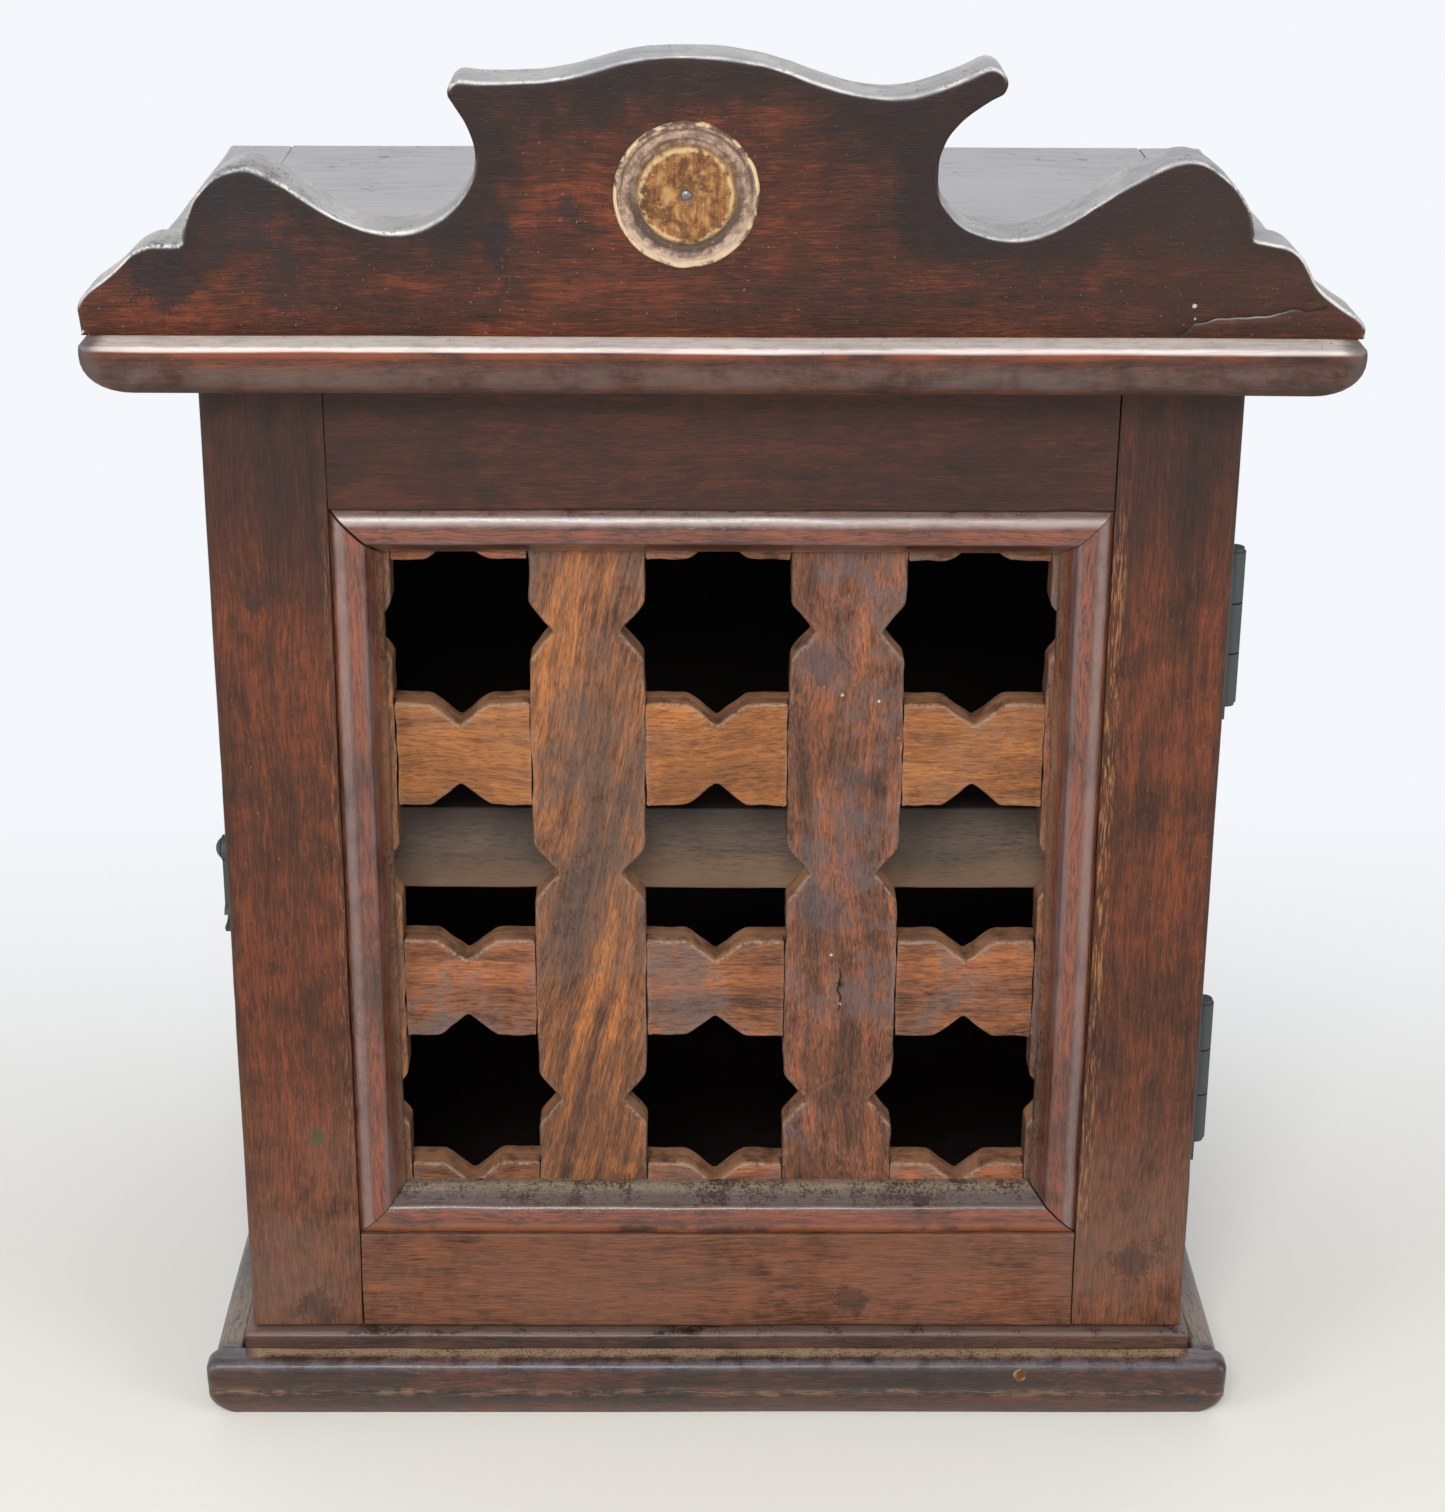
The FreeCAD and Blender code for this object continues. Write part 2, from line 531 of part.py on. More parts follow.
def make_lattice():
    """Slats half-lapped into a grid whose windows are eight-pointed stars."""
    half_x = UPRIGHT_WIDTH / 2
    half_z = CROSS_SLAT_WIDTH / 2
    x_slats = [LATTICE_OFFSET_X + PITCH_X * s for s in (-0.5, 0.5)]
    z_slats = [Z_LATTICE + PITCH_Z * s for s in (-0.5, 0.5)]
    x_windows = [LATTICE_OFFSET_X + PITCH_X * s for s in (-1, 0, 1)]
    z_windows = [Z_LATTICE + PITCH_Z * s for s in (-1, 0, 1)]
    x_edge = X_FRAME - LATTICE_EDGE_SIDE - LATTICE_EDGE_SHOW
    z_low = z_slats[0] - PITCH_Z + half_z
    z_high = z_slats[1] + PITCH_Z - half_z
    fit = JOINT_CLEARANCE
    x_end = X_FRAME - fit
    z_end = (Z_FRAME + fit, Z_FRAME_TOP - fit)
    out_x = V(1, 0, 0)
    out_z = V(0, 0, 1)

    uprights = {
        "lattice_edge_left": (-x_end, -x_edge),
        "lattice_slat_left": (x_slats[0] - half_x, x_slats[0] + half_x),
        "lattice_slat_right": (x_slats[1] - half_x, x_slats[1] + half_x),
        "lattice_edge_right": (x_edge, x_end),
    }
    crossings = {
        "lattice_edge_bottom": (z_end[0], z_low),
        "lattice_slat_lower": (z_slats[0] - half_z, z_slats[0] + half_z),
        "lattice_slat_upper": (z_slats[1] - half_z, z_slats[1] + half_z),
        "lattice_edge_top": (z_high, z_end[1]),
    }
    upright_laps = [box(-x_end, x_end, Y_LAP, Y_DOOR_BACK, *span) for span in crossings.values()]
    crossing_laps = [box(x0, x1, Y_LATTICE, Y_LAP, *z_end) for x0, x1 in uprights.values()]

    for name, (x0, x1) in uprights.items():
        cuts = list(upright_laps)
        for z in z_windows:
            if x1 < x_end:
                cuts.append(notch(V(x1, Y_LATTICE, z), out_x, out_z))
            if x0 > -x_end:
                cuts.append(notch(V(x0, Y_LATTICE, z), -out_x, out_z))
        nodes[name] = box(x0, x1, Y_LATTICE, Y_DOOR_BACK, *z_end).cut(cuts)
    for name, (z0, z1) in crossings.items():
        cuts = list(crossing_laps)
        for x in x_windows:
            if z1 < z_end[1]:
                cuts.append(notch(V(x, Y_LATTICE, z1), out_z, out_x))
            if z0 > z_end[0]:
                cuts.append(notch(V(x, Y_LATTICE, z0), -out_z, out_x))
        nodes[name] = box(-x_end, x_end, Y_LATTICE, Y_DOOR_BACK, z0, z1).cut(cuts)


# Hinges ----------------------------------------------------------------------------------
def hinge_screw(y, z):
    """Return a slotted countersunk screw driven into the side at (y, z)."""
    head_radius = 2.3
    shank_radius = 1.1
    x_face = X_SIDE + HINGE_LEAF_THICKNESS
    head = Part.makeCone(head_radius, shank_radius, HINGE_LEAF_THICKNESS, V(x_face, y, z), V(-1, 0, 0))
    shank = cylinder(shank_radius, V(x_face, y, z), V(-1, 0, 0), 9.0)
    slot = box(x_face - 0.4, x_face, y - 0.25, y + 0.25, z - head_radius, z + head_radius)
    return joined([head, shank]).cut(slot)


def hinge_seat(y, z):
    """Return the plain countersink that takes a hinge screw."""
    x_face = X_SIDE + HINGE_LEAF_THICKNESS
    head = Part.makeCone(2.3, 1.1, HINGE_LEAF_THICKNESS, V(x_face, y, z), V(-1, 0, 0))
    return joined([head, cylinder(1.1, V(x_face, y, z), V(-1, 0, 0), 9.0)])


def hinge_leaf(z_mid, side, spans):
    """Return a leaf on the door (side -1) or the case (side 1) with knuckles at the spans."""
    reach = PIN_OFFSET + LEAF_CLEARANCE
    near = Y_PIN + side * reach
    far = near + side * (HINGE_LEAF_WIDTH - reach)
    x_face = X_SIDE + HINGE_LEAF_THICKNESS
    z_low = z_mid - HINGE_LENGTH / 2
    pieces = [box(X_SIDE, x_face, min(near, far), max(near, far), z_low, z_low + HINGE_LENGTH)]
    for start, end in spans:
        y0, y1 = sorted((Y_PIN, near))
        pieces.append(box(X_SIDE, x_face, y0, y1, z_low + start, z_low + end))
        pieces.append(cylinder(KNUCKLE_RADIUS, V(X_PIN, Y_PIN, z_low + start), V(0, 0, 1), end - start))
    bore = cylinder(PIN_RADIUS + PIN_CLEARANCE, V(X_PIN, Y_PIN, z_low - 1), V(0, 0, 1), HINGE_LENGTH + 2)
    return joined(pieces).cut(bore)


def make_hinges():
    """Two surface butt hinges on the right side, each with its own pin and screws."""
    third = HINGE_LENGTH / 3
    gap = KNUCKLE_GAP / 2
    case_spans = ((0.0, third - gap), (2 * third + gap, HINGE_LENGTH))
    door_spans = ((third + gap, 2 * third - gap),)
    y_screw = (PIN_OFFSET + LEAF_CLEARANCE + HINGE_LEAF_WIDTH) / 2
    screws = {-1: [], 1: []}
    for level, z_mid in (("upper", Z_DOOR_TOP - HINGE_INSET), ("lower", Z_DOOR + HINGE_INSET)):
        for side, owner, spans, wood in ((1, "case", case_spans, "side_right"),
                                         (-1, "door", door_spans, "stile_right")):
            leaf = hinge_leaf(z_mid, side, spans)
            for z in (z_mid - SCREW_SPACING / 2, z_mid + SCREW_SPACING / 2):
                seat = hinge_seat(Y_PIN + side * y_screw, z)
                leaf = leaf.cut(seat)
                nodes[wood] = nodes[wood].cut(seat)
                screws[side].append(hinge_screw(Y_PIN + side * y_screw, z))
            nodes["hinge_leaf_%s_%s" % (owner, level)] = leaf
        z_low = z_mid - HINGE_LENGTH / 2
        cap = 0.9
        pin = joined([
            cylinder(PIN_RADIUS, V(X_PIN, Y_PIN, z_low), V(0, 0, 1), HINGE_LENGTH),
            cylinder(KNUCKLE_RADIUS - 0.4, V(X_PIN, Y_PIN, z_low - cap), V(0, 0, 1), cap),
            cylinder(KNUCKLE_RADIUS - 0.4, V(X_PIN, Y_PIN, z_low + HINGE_LENGTH), V(0, 0, 1), cap)])
        nodes["hinge_pin_%s" % level] = pin
    nodes["hinge_screws_case"] = Part.makeCompound(screws[1])
    nodes["hinge_screws_door"] = Part.makeCompound(screws[-1])


# Hook latch ------------------------------------------------------------------------------
def make_latch():
    """A flat hook hanging from a screw in the door's edge, and its catch pin on the case."""
    x_near = -X_SIDE - HOOK_SIDE_GAP
    x_far = x_near - HOOK_THICKNESS
    pivot = V(x_far, Y_HOOK, Z_HOOK)
    head_at = V(x_far, Y_HOOK, Z_HOOK - HOOK_REACH)
    out = V(1, 0, 0)
    half = HOOK_SHANK_WIDTH / 2
    shank = box(x_far, x_near, Y_HOOK - half, Y_HOOK + half, Z_HOOK - HOOK_REACH, Z_HOOK)
    eye = cylinder(HOOK_EYE_RADIUS, pivot, out, HOOK_THICKNESS)
    head = cylinder(HOOK_HEAD_RADIUS, head_at, out, HOOK_THICKNESS)
    throat = CATCH_PIN_RADIUS + CATCH_CLEARANCE
    hook = joined([shank, eye, head])
    hook = hook.cut(cylinder(throat, head_at, out, HOOK_THICKNESS))
    hook = hook.cut(box(x_far, x_near, Y_HOOK - 2 * HOOK_HEAD_RADIUS, Y_HOOK,
                        head_at.z - throat, head_at.z + throat))
    hook = hook.cut(cylinder(PIN_RADIUS + PIN_CLEARANCE, pivot, out, HOOK_THICKNESS))
    nodes["latch_hook"] = hook

    x_head = x_far - HOOK_SIDE_GAP
    dome = Part.makeSphere(3.1, V(x_head + 1.8, Y_HOOK, Z_HOOK))
    dome = dome.common(box(x_head - 3.0, x_head, Y_HOOK - 4, Y_HOOK + 4, Z_HOOK - 4, Z_HOOK + 4))
    shaft = cylinder(PIN_RADIUS, V(x_head - 0.5, Y_HOOK, Z_HOOK), out, HOOK_THICKNESS + 12.0)
    collar = cylinder(HOOK_EYE_RADIUS - 0.8, V(-X_SIDE - HOOK_SIDE_GAP + 0.1, Y_HOOK, Z_HOOK), out,
                      HOOK_SIDE_GAP - 0.1)
    nodes["latch_pivot_screw"] = joined([dome, shaft, collar])
    let_in(nodes["latch_pivot_screw"], ["stile_left"])

    catch = V(x_far - 1.2, Y_HOOK + HOOK_REACH, Z_HOOK)
    nodes["latch_catch_pin"] = cylinder(CATCH_PIN_RADIUS, catch, out, HOOK_THICKNESS + 10.0)
    let_in(nodes["latch_catch_pin"], ["side_left"])


make_base()
make_case()
make_case_nails()
make_key_hooks()
make_top()
make_crest()
make_door_frame()
make_door_mouldings()
make_lattice()
make_hinges()
make_latch()

os.makedirs("parts", exist_ok=True)
for name, shape in nodes.items():
    shape.exportStep("parts/%s.step" % name)
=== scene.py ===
"""Looks of a small wooden key cabinet, built round its packed construction model.

Shapes are worked out in millimetres and stored in metres: X to the right, Y from the door to
the back, Z up.
"""
import logging
import math
from dataclasses import dataclass, field
from enum import Enum
from typing import Any, Callable

import bmesh
import bpy
import numpy as np
from mathutils import Matrix, Vector, geometry


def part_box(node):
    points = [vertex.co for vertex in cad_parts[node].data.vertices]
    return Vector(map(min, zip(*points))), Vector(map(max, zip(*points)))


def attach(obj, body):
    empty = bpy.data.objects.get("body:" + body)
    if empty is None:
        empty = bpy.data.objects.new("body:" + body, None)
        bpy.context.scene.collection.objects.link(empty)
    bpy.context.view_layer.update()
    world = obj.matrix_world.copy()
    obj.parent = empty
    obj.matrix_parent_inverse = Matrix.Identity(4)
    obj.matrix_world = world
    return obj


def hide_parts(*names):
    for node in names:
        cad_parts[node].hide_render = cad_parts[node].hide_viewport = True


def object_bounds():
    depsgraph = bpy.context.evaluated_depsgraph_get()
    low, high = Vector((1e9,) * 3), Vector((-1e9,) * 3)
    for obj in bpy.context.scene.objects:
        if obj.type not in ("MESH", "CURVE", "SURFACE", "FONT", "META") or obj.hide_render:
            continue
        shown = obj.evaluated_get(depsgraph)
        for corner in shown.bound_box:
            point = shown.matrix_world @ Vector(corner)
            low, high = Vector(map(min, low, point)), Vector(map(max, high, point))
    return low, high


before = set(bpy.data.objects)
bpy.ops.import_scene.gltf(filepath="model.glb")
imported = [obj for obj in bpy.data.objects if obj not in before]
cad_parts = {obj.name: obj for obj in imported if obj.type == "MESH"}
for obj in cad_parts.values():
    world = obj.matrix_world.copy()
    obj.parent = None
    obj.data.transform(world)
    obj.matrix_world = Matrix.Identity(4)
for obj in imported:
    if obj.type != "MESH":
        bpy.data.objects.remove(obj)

CAD_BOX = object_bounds()
MM = 0.001
TOUCH = 0.02  # points of a face closer together than this are one
WELD = 2e-6  # metres below which a mesh's points are merged
NO_ARRIS, PLAIN, IN_CRACK = 50.0, 5.0, -8.0  # edge marks: a seam, a turned piece, a crack
SEAM_ROUND = 0.02  # radius where two halves of a slat meet
ROUND_STEPS = 5  # points on a quarter round
LOG = logging.getLogger("key_cabinet")
Colour = tuple[float, float, float, float]
Array = np.ndarray


def paint(red: float, green: float, blue: float) -> Colour:
    """Return the linear colour of three display values from 0 to 255."""
    values = np.array([red, green, blue]) / 255.0
    linear = np.where(values <= 0.04045, values / 12.92, ((values + 0.055) / 1.055) ** 2.4)
    return (float(linear[0]), float(linear[1]), float(linear[2]), 1.0)


def span(node: str) -> tuple[Array, Array]:
    """Return the lowest and highest corners of a construction node, in millimetres."""
    low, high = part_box(node)
    return np.array(low) / MM, np.array(high) / MM


# ---- Surfaces ----
@dataclass
class Surface:
    """Points in millimetres, the faces that join them, and each point's way to an arris.

    Attributes:
        points: One row per point.
        faces: Tuples of point numbers.
        edge: Millimetres from each point to the nearest arris of its board.
    """

    points: Array
    faces: list[tuple[int, ...]]
    edge: Array

    def joined(self, other: "Surface") -> "Surface":
        """Return one surface that holds this one and another."""
        shift = len(self.points)
        faces = self.faces + [tuple(number + shift for number in face) for face in other.faces]
        return Surface(np.vstack([self.points, other.points]), faces,
                       np.concatenate([self.edge, other.edge]))


def grid_faces(rows: int, columns: int, wrapped: bool) -> list[tuple[int, ...]]:
    """Return the quads of a grid of points.

    Args:
        rows: Number of rows of points.
        columns: Number of points in a row.
        wrapped: Whether the last column joins the first.

    Returns:
        Point numbers of each quad.
    """
    last = columns if wrapped else columns - 1
    row, column = np.meshgrid(np.arange(rows - 1), np.arange(last), indexing="ij")
    following = (column + 1) % columns
    quads = np.stack([row * columns + column, row * columns + following,
                      (row + 1) * columns + following, (row + 1) * columns + column], axis=-1)
    return [tuple(quad) for quad in quads.reshape(-1, 4).tolist()]


def eased(low: float, high: float, step: float) -> Array:
    """Return values from low to high that crowd together at both ends (a sine of even angles)."""
    count = max(4, int((high - low) / step) + 2)
    return low + (high - low) * (np.sin(np.linspace(-0.5, 0.5, count) * math.pi) + 1) / 2


@dataclass(frozen=True)
class Ripple:
    """A smooth wandering value over space: the sum of a few plane waves in random directions.

    Attributes:
        seed: Start of the random series.
        length: Usual wavelength in millimetres.
        waves: Number of waves in the sum.
    """

    seed: int
    length: float
    waves: int = 14

    def at(self, points: Array) -> Array:
        """Return about -1 to 1 at each point: the mean of sin(k . p + phase), scaled up."""
        chance = np.random.default_rng(self.seed)
        ways = chance.normal(size=(self.waves, points.shape[1]))
        ways /= np.linalg.norm(ways, axis=1, keepdims=True)
        ways *= (2 * math.pi / (self.length * chance.uniform(0.6, 1.7, self.waves)))[:, None]
        phases = chance.uniform(0, 2 * math.pi, self.waves)
        return np.sin(points @ ways.T + phases).sum(axis=1) / math.sqrt(self.waves)


@dataclass(frozen=True)
class Handwork:
    """Unevenness that hand planing and a century of use leave on the boards.

    Attributes:
        sway: How far the faces wander from flat, the same for boards side by side.
        wear: How far the arrises are rubbed down at the worst places.
        chips: Depth of the small knocks along the arrises.
    """

    sway: float = 0.10
    wear: float = 0.45
    chips: float = 0.5

    def swayed(self, points: Array) -> Array:
        """Return points moved by three long ripples, one for each axis."""
        moves = np.stack([Ripple(seed, 95.0).at(points) for seed in (11, 12, 13)], axis=1)
        return points + moves * self.sway

    def rubbed(self, surface: Surface, low: Array, high: Array, seed: int) -> Surface:
        """Return a board with its arrises worn down unevenly.

        A point is drawn inwards from each face that it is close to, by a depth that ripples
        along the board and dies away over a millimetre from the arris.

        Args:
            surface: The board.
            low: Its lowest corner.
            high: Its highest corner.
            seed: Start of the random series.
        """
        points = surface.points
        worn = np.clip(Ripple(seed, 34.0).at(points) * 0.6 + 0.35, 0, 1) * self.wear
        knocks = np.clip(Ripple(seed + 1, 7.0).at(points) - 1.25, 0, 1) * self.chips
        depth = (worn * 0.5 + knocks) * np.exp(-(surface.edge / 0.9) ** 2)
        pull = np.exp(-(points - low) / 0.8) - np.exp(-(high - points) / 0.8)
        return Surface(points + pull * depth[:, None], surface.faces, surface.edge)


@dataclass(frozen=True)
class Side:
    """How one side of a board is rounded, by circle arcs, below and above.

    Attributes:
        toe: How far the foot lies behind the face.
        rise: Height of the rounding below.
        over: Radius of the rounding above.
    """

    toe: float = 0.5
    rise: float = 0.5
    over: float = 0.5

    def levels(self, foot: float, head: float) -> Array:
        """Return heights that follow both arcs at even angles."""
        turn = np.linspace(0, math.pi / 2, 9)
        return np.concatenate([foot + self.rise * (1 - np.sin(turn)),
                               head - self.over * (1 - np.sin(turn))])

    def inset(self, level: Array, foot: float, head: float) -> Array:
        """Return how far the side lies behind its face at each level."""
        radius = (self.toe ** 2 + self.rise ** 2) / (2 * self.toe)
        below = np.clip(foot + self.rise - level, 0, self.rise)
        above = np.clip(level - head + self.over, 0, self.over)
        under = radius - np.sqrt(np.maximum(radius ** 2 - below ** 2, 0))
        return under + self.over - np.sqrt(np.maximum(self.over ** 2 - above ** 2, 0))


def soft(radius: float, over: float | None = None) -> Side:
    """Return a side that is rounded alike above and below, or by another radius above."""
    return Side(radius, radius, radius if over is None else over)


@dataclass(frozen=True)
class Sides:
    """The four upright sides of a board."""

    left: Side = Side()
    right: Side = Side()
    front: Side = Side()
    back: Side = Side()

    def all(self) -> tuple[Side, Side, Side, Side]:
        """Return the sides in the order left, right, front, back."""
        return self.left, self.right, self.front, self.back


def board(low: Array, high: Array, sides: Sides = Sides(),
          corner: float | tuple[float, ...] = 0.5, step: float = 5.0) -> Surface:
    """Return a board as a stack of rounded rectangles.

    Column (u, v, angle) of row (x0, x1, y0, y1, r) is the middle of the rectangle plus (u, v)
    times its half sizes less r, plus r along the angle. Side (c, d) of the rectangle faces that
    way, so that (u, v) runs along it as (c, d) plus t times (-d, c). The rows climb the walls
    with each side's inset, and go on over the top and under the foot as ever smaller rectangles.

    Args:
        low: Lowest corner.
        high: Highest corner.
        sides: Rounding of the four sides.
        corner: Radius of the upright corners, one for all or four anticlockwise from the back
            right one.
        step: Usual distance between points.
    """
    foot, head = low[2], high[2]
    walls = np.unique(np.round(np.concatenate(
        [side.levels(foot, head) for side in sides.all()] + [eased(foot, head, step)]), 4))
    insets = [side.inset(walls, foot, head) for side in sides.all()]
    x0, x1 = low[0] + insets[0], high[0] - insets[1]
    y0, y1 = low[1] + insets[2], high[1] - insets[3]

    def shrink(row: int) -> Array:
        """Return how far each row of a cap lies inside the wall row that it starts from."""
        deep = min(x1[row] - x0[row], y1[row] - y0[row]) / 2 - 0.02
        count = max(3, int(deep / step * 1.6) + 2)
        return deep * np.linspace(0, 1, count)[1:] ** 1.6

    under, over = shrink(0)[::-1], shrink(-1)
    draw = np.concatenate([under, np.zeros(len(walls)), over])
    x0 = np.concatenate([x0[0] + under, x0, x0[-1] + over])
    x1 = np.concatenate([x1[0] - under, x1, x1[-1] - over])
    y0 = np.concatenate([y0[0] + under, y0, y0[-1] + over])
    y1 = np.concatenate([y1[0] - under, y1, y1[-1] - over])
    z = np.concatenate([np.full(len(under), foot), walls, np.full(len(over), head)])

    across = eased(-1, 1, 2 * step / (high[0] - low[0]))[1:-1]
    along = eased(-1, 1, 2 * step / (high[1] - low[1]))[1:-1]
    quarter = np.linspace(0, math.pi / 2, ROUND_STEPS)
    u, v, angle, round_ = [], [], [], []
    radii = np.broadcast_to(np.asarray(corner, float), (4,))
    for number, (c, d) in enumerate(((1, 0), (0, 1), (-1, 0), (0, -1))):
        run = (along, across)[number % 2]
        turn = number * math.pi / 2
        u += [c - d * run, np.full(ROUND_STEPS, c - d)]
        v += [d + c * run, np.full(ROUND_STEPS, d + c)]
        angle += [np.full(len(run), turn), turn + quarter]
        share = np.linspace(0, 1, len(run) + 2)[1:-1]
        before = radii[number - 1]
        round_ += [before + (radii[number] - before) * share, np.full(ROUND_STEPS, radii[number])]
    u, v, angle, r = (np.concatenate(part) for part in (u, v, angle, round_))
    r = np.clip(r[None] - draw[:, None], 0.015, (np.minimum(x1 - x0, y1 - y0) / 2)[:, None])
    x = ((x0 + x1) / 2)[:, None] + ((x1 - x0) / 2)[:, None] * u + r * (np.cos(angle) - u)
    y = ((y0 + y1) / 2)[:, None] + ((y1 - y0) / 2)[:, None] * v + r * (np.sin(angle) - v)
    points = np.stack([x, y, np.broadcast_to(z[:, None], x.shape)], axis=-1).reshape(-1, 3)
    rows, columns = x.shape
    faces = grid_faces(rows, columns, True)
    faces += [tuple(range(columns))[::-1], tuple(range((rows - 1) * columns, rows * columns))]
    near = np.sort(np.minimum(points - low, high - points), axis=1)[:, 1]
    return Surface(points, faces, np.maximum(near, 0))


def turned(centre: tuple[float, float], away: Array, level: Array, angle: Array) -> Surface:
    """Return a closed shape of rings: each point lies away from the axis at its angle.

    Args:
        centre: The axis (x, z), which runs along Y.
        away: Distance from the axis, one row per ring.
        level: Y of the same points.
        angle: Their angles.
    """
    x, z = centre
    points = np.stack([x + away * np.cos(angle), level, z + away * np.sin(angle)], axis=-1)
    rows, columns = away.shape
    faces = grid_faces(rows, columns, True)
    faces += [tuple(range(columns)), tuple(range((rows - 1) * columns, rows * columns))]
    return Surface(points.reshape(-1, 3), faces, np.full(rows * columns, PLAIN))


def rings(first: float, count: int, columns: int) -> tuple[Array, Array]:
    """Return the share of the radius and the angle of each point of a disc's rings."""
    return np.meshgrid(np.linspace(first, 1, count), np.linspace(0, 2 * math.pi, columns, False),
                       indexing="ij")


def spaced(line: Array, step: float, closed: bool = False) -> Array:
    """Return points at even steps along a line; on a closed one, a whole number of steps."""
    way = np.concatenate([[0], np.cumsum(np.linalg.norm(np.diff(line, axis=0), axis=1))])
    count = int(way[-1] / step)
    at = np.arange(count) * way[-1] / count if closed else np.arange(0, way[-1], step)
    return np.stack([np.interp(at, way, line[:, axis]) for axis in (0, 1)], axis=1)


def resampled(outline: Array, step: float, blur: float) -> Array:
    """Return a closed outline with even spacing and its corners eased by a running mean.

    Args:
        outline: Corners in order, one row each.
        step: Distance between the new points.
        blur: How far along the outline the mean reaches, in millimetres.
    """
    even = spaced(np.vstack([outline, outline[:1]]), step, True)
    reach = np.arange(-3, 4)
    weights = np.exp(-0.5 * (reach * step / blur) ** 2)
    weights /= weights.sum()
    return sum(weight * np.roll(even, -shift, axis=0) for shift, weight in zip(reach, weights))


def outward(outline: Array) -> Array:
    """Return unit vectors out of an anticlockwise outline, longer at its corners (a mitre)."""
    before = outline - np.roll(outline, 1, axis=0)
    after = np.roll(outline, -1, axis=0) - outline
    before /= np.linalg.norm(before, axis=1, keepdims=True) + 1e-9
    after /= np.linalg.norm(after, axis=1, keepdims=True) + 1e-9
    mean = before + after
    mean /= np.linalg.norm(mean, axis=1, keepdims=True) + 1e-9
    normal = np.stack([mean[:, 1], -mean[:, 0]], axis=1)
    return normal / np.clip((mean * after).sum(axis=1, keepdims=True), 0.7, 1)


def within(points: Array, outline: Array) -> Array:
    """Return which points lie inside an outline, by counting the edges to their right."""
    ahead = np.roll(outline, -1, axis=0)
    x, z = points[:, :1], points[:, 1:]
    crosses = (outline[:, 1] > z) != (ahead[:, 1] > z)
    rise = ahead[:, 1] - outline[:, 1] + 1e-12
    meets = x < (ahead[:, 0] - outline[:, 0]) * (z - outline[:, 1]) / rise + outline[:, 0]
    return (crosses & meets).sum(axis=1) % 2 == 1


def distance(points: Array, outline: Array) -> Array:
    """Return how far each point is from the nearest point of an outline."""
    gaps = [np.linalg.norm(block[:, None] - outline[None], axis=2).min(axis=1)
            for block in np.array_split(points, max(1, len(points) // 2000))]
    return np.concatenate(gaps)


@dataclass(frozen=True)
class Score:
    """A crack or a cut line in a face: a groove that follows a few points.

    Attributes:
        line: Points of the groove.
        depth: Depth in millimetres at its middle.
        width: Width in millimetres.
    """

    line: tuple[tuple[float, float], ...]
    depth: float
    width: float

    def trace(self) -> tuple[Array, Array]:
        """Return points along both lips and the bottom of the groove, with their depths."""
        middle = spaced(np.array(self.line), 0.7)
        middle[:, 1] += 0.3 * Ripple(5, 5.0).at(middle)
        run = np.gradient(middle, axis=0)
        run /= np.linalg.norm(run, axis=1, keepdims=True) + 1e-9
        beside = np.stack([-run[:, 1], run[:, 0]], axis=1) * self.width / 2
        taper = np.sin(np.linspace(0.08, 0.98, len(middle)) * math.pi) ** 0.5 * self.depth
        return (np.vstack([middle, middle + beside, middle - beside]),
                np.concatenate([taper, np.zeros(2 * len(middle))]))


def filled(outline: Array, step: float, extra: Array) -> tuple[Array, list[tuple[int, ...]]]:
    """Return the points and triangles of a flat face inside an outline.

    A square grid of points inside the outline and any extra points are joined by a Delaunay
    triangulation that keeps the outline.

    Args:
        outline: Its points in order.
        step: Size of the grid.
        extra: More points, one row each.
    """
    low, high = outline.min(axis=0), outline.max(axis=0)
    x, z = np.meshgrid(np.arange(low[0], high[0], step), np.arange(low[1], high[1], step * 0.87))
    x = x + (np.arange(len(z)) % 2 * step / 2)[:, None]
    grid = np.stack([x.ravel(), z.ravel()], axis=1)
    grid = grid[within(grid, outline)]
    grid = grid[distance(grid, outline) > step * 0.45]
    if len(extra):
        extra = extra[within(extra, outline)]
        extra = extra[distance(extra, outline) > 0.15]
        grid = grid[distance(grid, extra) > step * 0.4]
        grid = np.vstack([grid, extra])
    cloud = [Vector(point) for point in np.vstack([outline, grid])]
    points, _, faces, *_ = geometry.delaunay_2d_cdt(
        cloud, [], [list(range(len(outline)))], 1, 1e-6)
    return np.array([tuple(point) for point in points]), [tuple(face) for face in faces]


